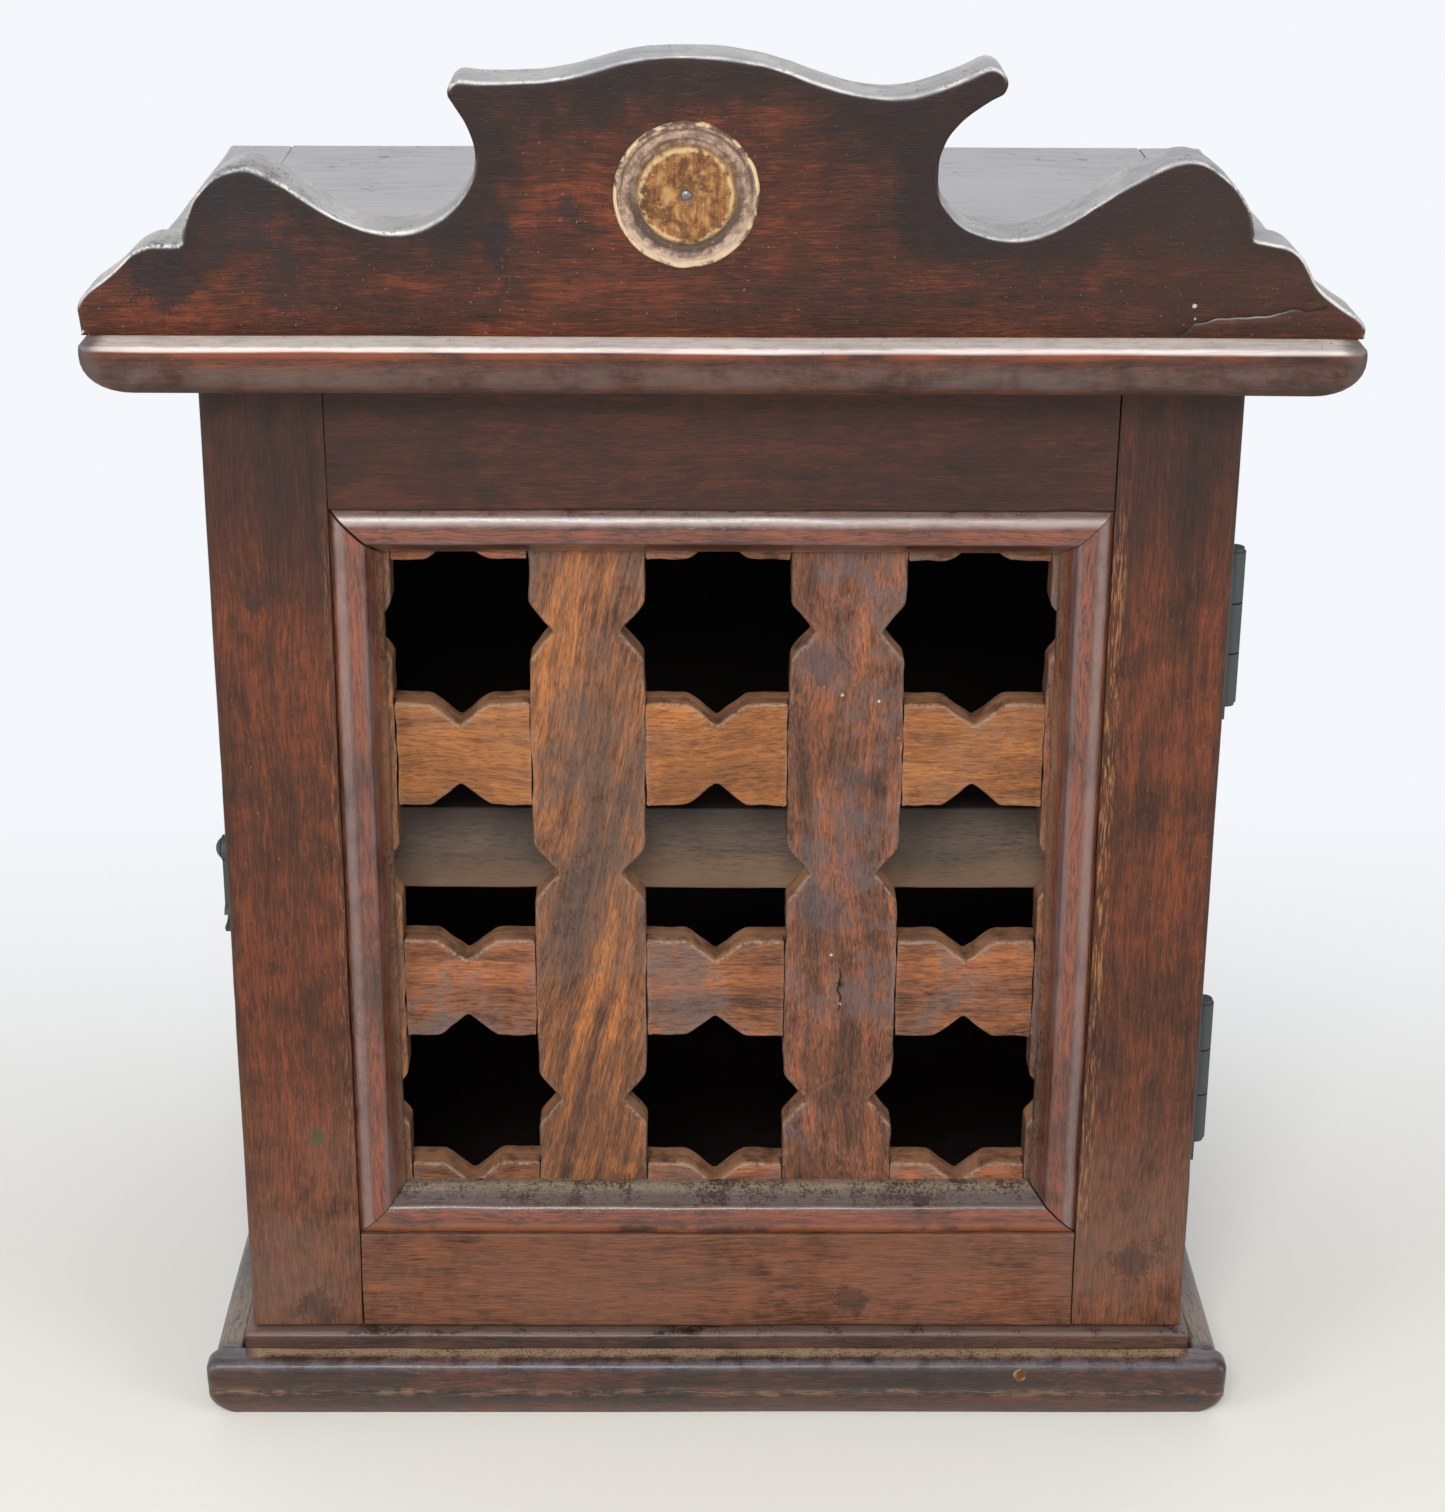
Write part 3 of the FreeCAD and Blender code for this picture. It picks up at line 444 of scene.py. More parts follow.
@dataclass(frozen=True)
class Plate:
    """A sawn-out shape with rounded arrises, standing across the Y axis.

    Attributes:
        outline: Anticlockwise points (x, z).
        front: Y of the front face.
        back: Y of the back face.
        front_round: Radius of the front arris, one value or one per point.
        back_round: Radius of the back arris.
        step: Grid of the two faces.
        scores: Grooves in the front face.
        sunk: Circles (x, z, radius, depth) let into the front face.
        arrises: Whether the front and the back face end in an arris rather than at a seam.
    """

    outline: Array
    front: float
    back: float
    front_round: Any = 0.7
    back_round: Any = 0.3
    step: float = 1.8
    scores: tuple[Score, ...] = ()
    sunk: tuple[tuple[float, float, float, float], ...] = ()
    arrises: tuple[bool, bool] = (True, True)

    def build(self) -> Surface:
        """Return the surface: rings down the wall, quarter rounds, and two filled faces.

        Ring k lies inside the outline by r (1 - cos) and behind the face by r (1 - sin) of an
        angle from nought at the wall to a right angle at the face.
        """
        count = len(self.outline)
        out = outward(self.outline)
        turn = np.linspace(math.pi / 2, 0, ROUND_STEPS)[:, None]
        walls = []
        for face, radius, way in ((self.front, self.front_round, 1),
                                  (self.back, self.back_round, -1)):
            size = np.broadcast_to(np.asarray(radius, float), (count,))
            inset = size * (1 - np.cos(turn))
            depth = face + way * size * (1 - np.sin(turn))
            flat = self.outline[None] - out[None] * inset[..., None]
            ring = np.stack([flat[..., 0], depth, flat[..., 1]], axis=-1)
            walls.append(ring if way > 0 else ring[::-1])
        wall = np.vstack(walls)
        points = wall.reshape(-1, 3)
        faces = [face[::-1] for face in grid_faces(len(wall), count, True)]
        near = np.stack([points[:, 1] - self.front, self.back - points[:, 1]])
        edge = np.where(np.array(self.arrises)[:, None], near, NO_ARRIS).min(axis=0)
        surface = Surface(points, faces, edge)
        for ring, level, lead in ((wall[0], self.front, True), (wall[-1], self.back, False)):
            surface = surface.joined(self.cap(ring[:, [0, 2]], level, lead))
        return surface

    def cap(self, ring: Array, level: float, lead: bool) -> Surface:
        """Return the front or back face, with its grooves and sunk circles.

        Args:
            ring: Its outline.
            level: Its Y.
            lead: Whether it is the front face.
        """
        extra, depths = np.zeros((0, 2)), np.zeros(0)
        if lead:
            for score in self.scores:
                more, deep = score.trace()
                extra, depths = np.vstack([extra, more]), np.concatenate([depths, deep])
            angle = np.linspace(0, 2 * math.pi, 120, endpoint=False)
            for x, z, radius, deep in self.sunk:
                for reach, drop in ((radius, 0.0), (radius - 0.12, deep)):
                    more = np.stack([x + reach * np.cos(angle), z + reach * np.sin(angle)], axis=1)
                    extra = np.vstack([extra, more])
                    depths = np.concatenate([depths, np.full(len(angle), drop)])
        flat, faces = filled(ring, self.step, extra)
        drop = np.zeros(len(flat))
        if len(extra):
            gaps = np.linalg.norm(flat[:, None] - extra[None], axis=2)
            nearest = gaps.argmin(axis=1)
            drop = np.where(gaps.min(axis=1) < TOUCH, depths[nearest], 0.0)
            for x, z, radius, deep in self.sunk:
                inside = np.hypot(flat[:, 0] - x, flat[:, 1] - z) < radius - 0.06
                drop = np.where(inside, deep, drop)
        points = np.stack([flat[:, 0], level + drop, flat[:, 1]], axis=1)
        edge = distance(flat, self.outline)
        if lead and self.scores:
            trace, deep = self.scores[0].trace()
            gaps = np.linalg.norm(flat[:, None] - trace[None], axis=2)
            bottom = (gaps.min(axis=1) < TOUCH) & (deep[gaps.argmin(axis=1)] > 0)
            edge = np.where(bottom, IN_CRACK, edge)
        return Surface(points, faces, edge)


def face_outline(node: str) -> Array:
    """Return the anticlockwise outline of a construction node's front face, in millimetres.

    The triangles that lie in the frontmost plane are found, and the edges that only one of
    them has are chained into loops; the longest loop is the outline.
    """
    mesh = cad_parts[node].data
    points = np.empty(len(mesh.vertices) * 3)
    mesh.vertices.foreach_get("co", points)
    points = np.round(points.reshape(-1, 3) / MM, 4)
    places, numbers = np.unique(points, axis=0, return_inverse=True)
    corners = np.empty(len(mesh.loops), int)
    mesh.loops.foreach_get("vertex_index", corners)
    triangles = numbers.ravel()[corners].reshape(-1, 3)
    front = triangles[(places[triangles][:, :, 1] < places[:, 1].min() + 0.002).all(axis=1)]
    edges = np.concatenate([front[:, [0, 1]], front[:, [1, 2]], front[:, [2, 0]]])
    _, which, counts = np.unique(np.sort(edges, axis=1), axis=0, return_inverse=True,
                                 return_counts=True)
    following = dict(edges[counts[which.ravel()] == 1].tolist())
    loops = []
    while following:
        start, here = following.popitem()
        loop = [start]
        while here != start and here in following:
            loop.append(here)
            here = following.pop(here)
        loops.append(places[loop][:, [0, 2]])
    outline = max(loops, key=lambda loop: np.linalg.norm(np.diff(loop, axis=0), axis=1).sum())
    x, z = outline.T
    area = (x * np.roll(z, -1) - np.roll(x, -1) * z).sum()
    return outline if area > 0 else outline[::-1]


def arc(start: tuple[float, float], middle: tuple[float, float], end: tuple[float, float],
        count: int) -> Array:
    """Return points on the circle through three points, from the first to the last."""
    (ax, ay), (bx, by), (cx, cy) = start, middle, end
    turn = 2 * (ax * (by - cy) + bx * (cy - ay) + cx * (ay - by))
    a, b, c = ax * ax + ay * ay, bx * bx + by * by, cx * cx + cy * cy
    x = (a * (by - cy) + b * (cy - ay) + c * (ay - by)) / turn
    y = (a * (cx - bx) + b * (ax - cx) + c * (bx - ax)) / turn
    radius = math.hypot(ax - x, ay - y)
    first = math.atan2(ay - y, ax - x)
    sweep = (math.atan2(cy - y, cx - x) - first + math.pi) % (2 * math.pi) - math.pi
    angle = first + sweep * np.linspace(0, 1, count)
    return np.stack([x + radius * np.cos(angle), y + radius * np.sin(angle)], axis=1)


# ---- Shader graphs ----
@dataclass(frozen=True)
class Channel:
    """An output socket; arithmetic on it adds Math nodes to its graph."""

    graph: "Graph"
    socket: Any

    def _math(self, operation: str, *values: Any) -> "Channel":
        """Return the result of a Math node on some values."""
        return self.graph.node("ShaderNodeMath", {"operation": operation}, dict(enumerate(values)))

    def __add__(self, other: Any) -> "Channel":
        """Return self + other."""
        return self._math("ADD", self, other)

    __radd__ = __add__

    def __sub__(self, other: Any) -> "Channel":
        """Return self - other."""
        return self._math("SUBTRACT", self, other)

    def __rsub__(self, other: Any) -> "Channel":
        """Return other - self."""
        return self._math("SUBTRACT", other, self)

    def __mul__(self, other: Any) -> "Channel":
        """Return self * other."""
        return self._math("MULTIPLY", self, other)

    __rmul__ = __mul__

    def __abs__(self) -> "Channel":
        """Return the size of the value without its sign."""
        return self._math("ABSOLUTE", self)

    def largest(self, other: Any) -> "Channel":
        """Return the larger of two values."""
        return self._math("MAXIMUM", self, other)

    def fade(self, low: float, high: float) -> "Channel":
        """Return 0 at low and 1 at high with a smooth step between, either way round."""
        return self.graph.node(
            "ShaderNodeMapRange", {"interpolation_type": "SMOOTHSTEP", "clamp": True},
            {0: self, 1: low, 2: high, 3: 0.0, 4: 1.0})


class Graph:
    """The node tree of one new material."""

    def __init__(self, name: str) -> None:
        """Start an empty material of that name."""
        self.material = bpy.data.materials.new(name)
        self.material.use_nodes = True
        self.tree = self.material.node_tree
        self.tree.nodes.clear()

    def node(self, kind: str, settings: dict[str, Any] | None = None,
             sockets: dict[Any, Any] | None = None, output: Any = 0) -> Channel:
        """Add a node and return one of its outputs.

        Args:
            kind: Type of the node.
            settings: Its properties, set first; "stops" fills a colour ramp.
            sockets: Values or channels for its inputs, by name or number.
            output: Name or number of the output that is wanted.
        """
        made = self.tree.nodes.new(kind)
        for key, value in (settings or {}).items():
            if key == "stops":
                elements = made.color_ramp.elements
                while len(elements) < len(value):
                    elements.new(0.5)
                for element, (position, colour) in zip(elements, value):
                    element.position, element.color = position, colour
            else:
                setattr(made, key, value)
        for key, value in (sockets or {}).items():
            if isinstance(value, Channel):
                self.tree.links.new(value.socket, made.inputs[key])
            else:
                made.inputs[key].default_value = value
        return Channel(self, made.outputs[output])

    def mix(self, base: Any, over: Any, factor: Any) -> Channel:
        """Return one colour laid over another by a factor."""
        return self.node("ShaderNodeMix", {"data_type": "RGBA"}, {0: factor, 6: base, 7: over}, 2)

    def layers(self, colour: Any, *layers: tuple[Any, Any]) -> Channel:
        """Return a colour with others laid over it in order, each by its factor."""
        for over, factor in layers:
            colour = self.mix(colour, over, factor)
        return colour

    def vector(self, operation: str, first: Any, second: Any) -> Channel:
        """Return a Vector Math node's result; SCALE takes a number second."""
        place = 3 if operation == "SCALE" else 1
        return self.node("ShaderNodeVectorMath", {"operation": operation},
                         {0: first, place: second})

    def noise(self, where: Channel, size: float, detail: float = 3.0, rough: float = 0.55,
              bend: float = 0.0, output: int = 0) -> Channel:
        """Return cloudy noise whose largest features are size millimetres across."""
        return self.node("ShaderNodeTexNoise", {}, {
            "Vector": where, "Scale": 1.0 / size, "Detail": detail, "Roughness": rough,
            "Distortion": bend}, output)

    def place(self) -> Channel:
        """Return the place on the object in millimetres."""
        return self.vector("SCALE", self.node("ShaderNodeTexCoord", output="Object"), 1.0 / MM)

    def axes(self, vector: Channel) -> list[Channel]:
        """Return the three parts of a vector."""
        first = self.node("ShaderNodeSeparateXYZ", {}, {0: vector})
        return [Channel(self, output) for output in first.socket.node.outputs]

    def edge(self) -> Channel:
        """Return the millimetres to the nearest arris that a surface carries."""
        return self.node("ShaderNodeAttribute", {"attribute_name": "edge"}, output="Fac")

    def normal(self) -> Channel:
        """Return the direction that the surface faces, on the object."""
        return self.node("ShaderNodeTexCoord", output="Normal")

    def finish(self, constants: dict[str, Any], height: Channel, depth: float,
               **varying: Any) -> bpy.types.Material:
        """Close the graph with a Principled shader and return its material.

        Args:
            constants: Values that are the same all over.
            height: Relief, from 0 to 1.
            depth: Millimetres that a height of 1 stands for.
            varying: Colour, roughness and other channels, with _ for a blank in the name.
        """
        bump = self.node("ShaderNodeBump", {}, {
            "Height": height, "Distance": depth * MM, "Strength": 1.0}, "Normal")
        sockets = dict(constants)
        sockets.update({key.replace("_", " "): value for key, value in varying.items()})
        sockets["Normal"] = bump
        shader = self.node("ShaderNodeBsdfPrincipled", {}, sockets)
        self.node_output(shader)
        return self.material

    def node_output(self, shader: Channel) -> None:
        """Join a shader to the material's output."""
        made = self.tree.nodes.new("ShaderNodeOutputMaterial")
        self.tree.links.new(shader.socket, made.inputs["Surface"])


# ---- Finishes ----
class Grain(Enum):
    """The axis that the wood's fibres follow, as the share of each axis in the pattern."""

    ACROSS = (0.07, 1.0, 1.0)
    DEEP = (1.0, 0.07, 1.0)
    UPRIGHT = (1.0, 1.0, 0.07)


@dataclass(frozen=True)
class Spot:
    """A small mark of another colour on the front face of a piece.

    Attributes:
        node: The piece's construction node.
        offset: Millimetres right of and above the node's lower left corner.
        radius: Size in millimetres.
        colour: Its colour.
        share: How strongly it covers.
    """

    node: str
    offset: tuple[float, float]
    radius: float
    colour: Colour
    share: float = 0.85

    def centre(self) -> tuple[float, float, float]:
        """Return its place in millimetres."""
        low = span(self.node)[0]
        return low[0] + self.offset[0], low[1], low[2] + self.offset[1]


@dataclass(frozen=True)
class Patterns:
    """The noises that a wooden finish is made of.

    Attributes:
        graph: The material's graph.
        place: Place on the object in millimetres.
        moved: The same place, shifted to a part of the noise of its own.
        normal: The three parts of the facing direction.
        edge: Distance to the nearest arris.
        fibre: Fine stretched fibres.
        cloud: Patches of some forty millimetres.
        small: Patches of some six millimetres.
        fine: Specks under a millimetre.
    """

    graph: Graph
    place: Channel
    moved: Channel
    normal: list[Channel]
    edge: Channel
    fibre: Channel
    cloud: Channel
    small: Channel
    fine: Channel


@dataclass(frozen=True)
class Wood:
    """Old stained and waxed hardwood with open pores.

    Attributes:
        name: Name of the material.
        deep: Colour of the dark fibres.
        body: Usual colour.
        warm: Colour where the stain is thin.
        contrast: How far the fibres part from the usual colour.
        figured: How strongly the long bands of the figure show, 0 to 0.45.
        grime: Colour of the blackened patches.
        grime_share: How much of the wood is blackened, 0 to 1.
        rim: Colour along the arrises.
        rim_reach: How far that goes, in millimetres.
        rim_share: How strongly it shows, 0 to 1.
        dust: Colour of the dust on what faces up; on the top boards, the crest and the cornice
            ledge it is partly a painted reflection of the pale backdrop.
        dust_share: How thick it lies, 0 to 1.
        dust_even: How evenly it lies, 0 to 1.
        pores: How strongly the open pores show.
        specks: How strongly the pale specks show.
        bend: How far the figure wanders, in millimetres.
        swirl: How strongly the figure twists on itself.
        lean: How far the fibres lean to one side, in radians.
        gloss: Roughness of the wax.
        shine: Strength of its plain reflection.
        coat: Weight of the wax's own gloss.
        relief: Depth of the surface's relief, in millimetres.
        seed: Moves the figure.
        spots: Single marks.
    """

    SPECKLE = paint(168, 150, 132)

    name: str
    deep: Colour = paint(42, 26, 19)
    body: Colour = paint(76, 41, 26)
    warm: Colour = paint(116, 58, 31)
    contrast: float = 0.75
    figured: float = 0.20
    grime: Colour = paint(40, 31, 28)
    grime_share: float = 0.30
    rim: Colour = paint(44, 32, 28)
    rim_reach: float = 1.5
    rim_share: float = 0.4
    dust: Colour = paint(120, 104, 94)
    dust_share: float = 0.5
    dust_even: float = 0.0
    pores: float = 0.40
    specks: float = 0.30
    bend: float = 5.0
    swirl: float = 0.2
    lean: float = 0.0
    gloss: float = 0.46
    shine: float = 0.22
    coat: float = 0.06
    relief: float = 0.10
    seed: float = 0.0
    spots: tuple[Spot, ...] = ()

    def build(self, grain: Grain) -> bpy.types.Material:
        """Return the material with its fibres along an axis.

        Args:
            grain: The axis.
        """
        name = f"{self.name}_{grain.name.lower()}"
        if name in bpy.data.materials:
            return bpy.data.materials[name]
        g = Graph(name)
        place = g.place()
        moved = g.vector("ADD", place, (self.seed * 37.0, self.seed * 53.0, self.seed * 71.0))
        drift = g.vector("SUBTRACT", g.noise(moved, 55.0, 2.0, output=1), (0.5, 0.5, 0.5))
        flow = g.vector("ADD", moved, g.vector("SCALE", drift, self.bend * 2.0))
        leaning = g.node("ShaderNodeMapping", {}, {
            "Vector": flow, "Rotation": (0.0, self.lean, 0.0)})
        drawn = g.vector("MULTIPLY", leaning, grain.value)
        figure = g.noise(drawn, 5.5, 3.0, 0.55, self.swirl)
        streak = g.noise(drawn, 1.5, 2.0, 0.6)
        fibre = g.noise(drawn, 0.45, 2.0, 0.7)
        p = Patterns(g, place, moved, g.axes(g.normal()), g.edge(), fibre,
                     g.noise(moved, 40.0, 5.0, 0.6, 0.6), g.noise(moved, 6.0, 4.0, 0.65),
                     g.noise(moved, 0.75, 2.0, 0.7))
        tone = (fibre * 0.26 + streak * 0.13 + figure * self.figured + p.small * 0.16
                + p.cloud * (0.45 - self.figured))
        half = 0.075 / self.contrast
        colour = g.node("ShaderNodeValToRGB", {"stops": (
            (0.5 - half, self.deep), (0.5, self.body), (0.5 + half, self.warm))}, {0: tone})
        patch = (p.cloud * 0.6 + p.small * 0.3 + streak * 0.1).fade(
            0.58 - 0.22 * self.grime_share, 0.78 - 0.22 * self.grime_share)
        rim = p.edge.fade(self.rim_reach, 0.0) * p.small.fade(0.32, 0.55) * self.rim_share
        fine = g.vector("MULTIPLY", moved, tuple(max(share, 0.16) for share in grain.value))
        pore = g.noise(fine, 0.5, 1.0, 0.5).fade(0.58, 0.68)
        vessel = g.noise(drawn, 0.30, 1.0, 0.5).fade(0.56, 0.72)
        colour = g.layers(colour, (self.grime, patch * min(1.0, 0.45 + self.grime_share)),
                          (self.rim, rim), (self.deep, pore * self.pores),
                          (self.deep, vessel * self.pores),
                          (self.SPECKLE, p.fine.fade(0.68, 0.78) * self.specks))
        colour = self.worn(p, colour)
        ripple = p.small * 0.5 + p.fine * 0.25 + p.cloud * 0.25
        bare = 0.30 * (1.0 - self.dust_even)
        # On the top boards, the crest and the cornice ledge this up-facing layer is partly a
        # painted reflection of the pale backdrop; elsewhere it is dust.
        lying = p.normal[2].fade(0.20, 0.80) * ripple.fade(0.30 + bare, 0.40 + bare)
        streaky = 0.80 + (streak * 0.6 + p.cloud * 0.4).fade(0.36, 0.56) * 0.20
        dust = lying * self.dust_share * streaky
        colour = self.edged(p, g.mix(colour, self.dust, dust))
        for spot in self.spots:
            away = g.node("ShaderNodeVectorMath", {"operation": "DISTANCE"},
                          {0: place, 1: spot.centre()}, "Value")
            wander = (p.small - 0.5) * spot.radius * 2.4 + (p.fine - 0.5) * spot.radius * 1.2
            stain = (away + wander).fade(spot.radius, spot.radius * 0.45)
            colour = g.mix(colour, spot.colour, stain * spot.share)
        rough = fibre * 0.20 + (self.gloss - 0.10) + dust * 0.20 + patch * 0.06
        height = figure * 0.2 + fibre * 0.4 - pore * 0.5 + p.small * 0.5 + p.fine * 0.2
        return g.finish({"Coat Weight": self.coat, "Coat Roughness": 0.25,
                         "Specular IOR Level": self.shine},
                        height, self.relief, Base_Color=colour, Roughness=rough)

    def worn(self, p: Patterns, colour: Channel) -> Channel:
        """Return the colour with the wear that only one kind of piece has; here there is none."""
        return colour

    def edged(self, p: Patterns, colour: Channel) -> Channel:
        """Return the colour with what lies over the dust along the arrises; here, nothing."""
        return colour


class CaseWood(Wood):
    """Wood of the case, with painted shade that makes its faces inside the case near black."""

    INSIDE_SHADE = paint(23, 18, 15)

    def edged(self, p: Patterns, colour: Channel) -> Channel:
        """Return the colour with painted shade: near black on the faces inside the case."""
        low, high = span("side_left")
        depth = span("back_board")[0][1]
        x, y, z = p.graph.axes(p.place)
        wide = abs(x).fade(-high[0] + 0.9, -high[0] + 0.4)
        deep = y.fade(low[1] + 0.4, low[1] + 3.0) * y.fade(depth + 0.6, depth + 0.3)
        # Painted shade: faces inside the case are laid over with near black.
        inside = wide * deep * z.fade(low[2] - 0.8, low[2] - 0.3)
        inside = inside * z.fade(high[2] + 0.8, high[2] + 0.3)
        return p.graph.mix(colour, self.INSIDE_SHADE, inside * 0.97)


class RailWood(Wood):
    """Unpolished wood of the rail for the keys, with painted shade along the top and painted light
    along the bottom.
    """

    SHADE_AND_SOOT = paint(82, 77, 77)
    RUBBED_AND_LIT = paint(146, 116, 94)

    def worn(self, p: Patterns, colour: Channel) -> Channel:
        """Return the colour with painted shade, greyer along the top, and painted light, warmer
        along the bottom of the face.
        """
        g = p.graph
        low, high = span("cross_rail")
        level = g.axes(p.place)[2] + (p.cloud - 0.5) * 14.0
        # Painted shade: a grey band along the top of the face, for the shade of the slat above.
        shade_and_soot = level.fade(high[2] - 12.0, high[2] - 1.0)
        # Painted light: a warmer, paler band along the bottom of the face; the rubbed mask here
        # stands for light, not wear.
        rubbed = level.fade(low[2] + 12.0, low[2] + 1.0)
        return g.layers(colour, (self.SHADE_AND_SOOT, shade_and_soot * 0.6), (self.RUBBED_AND_LIT, rubbed * 0.75))


class DoorWood(Wood):
    """Wood of the door frame: sooty grime and painted shade from the cornice above, rubbed round
    the mouldings, dusty low down.
    """

    SHADE_AND_SOOT = paint(36, 26, 24)
    THINNED = paint(142, 94, 66)
    DUSTED = paint(84, 74, 68)
    AGED = paint(48, 34, 30)
    BARE = paint(146, 104, 66)

    def worn(self, p: Patterns, colour: Channel) -> Channel:
        """Return the colour with sooty grime and painted shade above, dust below, and bare fibres
        beside the mouldings.
        """
        g = p.graph
        low, high = span("stile_left")
        inner = span("moulding_left")[0][0]
        x, _, z = g.axes(p.place)
        wander = (p.cloud - 0.5) * 90.0 + (p.small - 0.5) * 30.0
        # Partly painted shade: the top of the frame is darkened for the cornice's shadow as well as
        # for grime.
        shade_and_soot = (z + wander).fade(high[2] - 62.0, high[2] - 28.0)
        haze = (z + wander * 0.6).fade(low[2] + 92.0, low[2] + 2.0)
        thin = haze * (p.cloud * 0.3 + p.small * 0.3 + p.fibre * 0.4).fade(0.32, 0.64)
        aside = abs(x).fade(-high[0] - 8.0, -high[0] + 2.0) * 0.35 + 0.2
        dusted = haze * p.cloud.fade(0.42, 0.62) * aside
        outer = abs(x).fade(25.0 - high[0], 31.0 - high[0]) * p.small.fade(0.35, 0.6)
        threads = p.fibre.fade(0.50, 0.64)
        beside = abs(x + inner - 1.4).fade(3.0, 0.4) * threads
        beside = beside + abs(x - inner + 1.2).fade(1.6, 0.2) * threads * 0.4
        upright = z.fade(high[2] - 22.0, high[2] - 50.0) * z.fade(low[2] + 20.0, low[2] + 34.0)
        return g.layers(colour, (self.SHADE_AND_SOOT, shade_and_soot * 0.64), (self.THINNED, thin * 0.45),
                        (self.DUSTED, dusted), (self.AGED, outer * 0.5),
                        (self.BARE, beside * upright * 0.7))


class MouldingWood(Wood):
    """Wood of the door mouldings, whose mark "edge" is the distance from the outer edge."""

    CROWN = paint(138, 66, 40)
    PAINTED_SHEEN = paint(154, 138, 134)
    RUBBED_AND_LIT = paint(142, 80, 46)
    LIP = paint(50, 39, 37)
    PAINTED_REFLECTION = paint(98, 90, 92)
    BARE = paint(126, 92, 64)
    DUSTED = paint(140, 122, 102)

    def worn(self, p: Patterns, colour: Channel) -> Channel:
        """Return the colour with a pinkish grey painted sheen, strongest where the moulding faces
        up, a rubbed crown, a dark inner lip and a bluish grey painted reflection along the inner
        side.
        """
        g = p.graph
        # Painted sheen: the bloom mask is a pinkish grey highlight band near the outer edge,
        # stronger where the surface faces up.
        bloom = p.edge.fade(0.4, 2.0) * p.edge.fade(5.0, 2.6) * (p.small * 0.5 + p.cloud * 0.5)
        facing = p.normal[2].fade(-0.3, 0.0) * 0.28 + p.normal[2].fade(0.0, 0.3) * 0.55
        middle = p.edge.fade(3.6, 5.0) * p.edge.fade(8.2, 6.8) * p.cloud.fade(0.36, 0.52)
        below = p.edge.fade(4.6, 2.4) * p.normal[2].fade(-0.05, -0.25)
        rubbed = below * (p.cloud * 0.5 + p.small * 0.5).fade(0.38, 0.54)
        lip = p.edge.fade(8.0, 8.8) * p.normal[2].fade(0.2, 0.5)
        # Painted reflection: a bluish grey streak near the inner side.
        streak = p.edge.fade(6.4, 7.6) * p.edge.fade(9.6, 8.2) * p.cloud.fade(0.40, 0.62)
        return g.layers(colour, (self.CROWN, middle * p.fibre.fade(0.36, 0.60) * 0.55),
                        (self.PAINTED_SHEEN, bloom.fade(0.10, 0.62) * facing),
                        (self.RUBBED_AND_LIT, rubbed * 0.7), (self.LIP, lip * 0.8),
                        (self.PAINTED_REFLECTION, streak * 0.45))

    def edged(self, p: Patterns, colour: Channel) -> Channel:
        """Return the colour with bare fibres in the outer quirk and dust on the inner lip."""
        g = p.graph
        quirk = p.edge.fade(0.9, 0.1) * p.fibre.fade(0.44, 0.60)
        fuzz = (p.fine * 0.6 + p.small * 0.4).fade(0.34, 0.60)
        lip = p.edge.fade(9.2, 11.4) * fuzz * (0.5 + p.normal[2].fade(0.2, 0.6) * 0.5)
        return g.layers(colour, (self.BARE, quirk * 0.45), (self.DUSTED, lip * 0.75))


class CrestWood(Wood):
    """Wood of the crest: dark towards its outline, rubbed pale along the front arris, with a
    near-white painted highlight there.
    """

    BORDER = paint(30, 24, 23)
    SHADE = paint(50, 34, 27)
    SPECKS = paint(128, 108, 94)
    CRACK = paint(22, 16, 14)
    RUBBED_AND_LIT = paint(188, 178, 164)
    ARRIS = paint(226, 224, 220)
    KNOCKS = paint(84, 74, 72)

    def worn(self, p: Patterns, colour: Channel) -> Channel:
        """Return the colour with the dark border, the browner right end and the dark crack."""
        g = p.graph
        facing = p.normal[1].fade(-0.3, -0.8)
        x, _, z = g.axes(p.place)
        foot = span("crest_board")[0][2]
        height = z.fade(foot + 4.0, foot + 22.0)
        reach = p.edge + (p.cloud - 0.5) * 26.0 + (p.small - 0.5) * 9.0
        border = reach.fade(17.0, 3.0) * facing * height
        side = (x + (p.cloud - 0.5) * 90.0).fade(30.0, 110.0) * facing
        return g.layers(colour, (self.BORDER, border * 0.88), (self.SHADE, side * 0.5),
                        (self.SPECKS, side * p.fine.fade(0.62, 0.76) * 0.28),
                        (self.CRACK, p.edge.fade(-0.5, -3.5) * 0.85))

    def edged(self, p: Patterns, colour: Channel) -> Channel:
        """Return the colour with the front arris rubbed pale, partly as painted sheen, and a
        near-white painted highlight where it faces up.
        """
        g = p.graph
        above = p.normal[2].fade(0.0, 0.4) * p.normal[1].fade(-0.97, -0.75)
        patchy = (p.small * 0.5 + p.cloud * 0.5).fade(0.40, 0.60)
        # Pale wear along the front arris, partly painted sheen.
        rubbed = p.edge.fade(2.6, 0.8) * above * patchy
        # Painted highlight: a near-white line on the front arris where it faces up, over the pale
        # wear.
        arris = p.edge.fade(1.3, 0.4) * above * (0.2 + patchy * 0.8)
        knock = (p.small * 0.6 + p.fine * 0.4).fade(0.56, 0.62) * p.edge.fade(3.0, 1.0) * above
        return g.layers(colour, (self.RUBBED_AND_LIT, rubbed * 0.35), (self.ARRIS, arris * 0.8),
                        (self.KNOCKS, knock * 0.6))


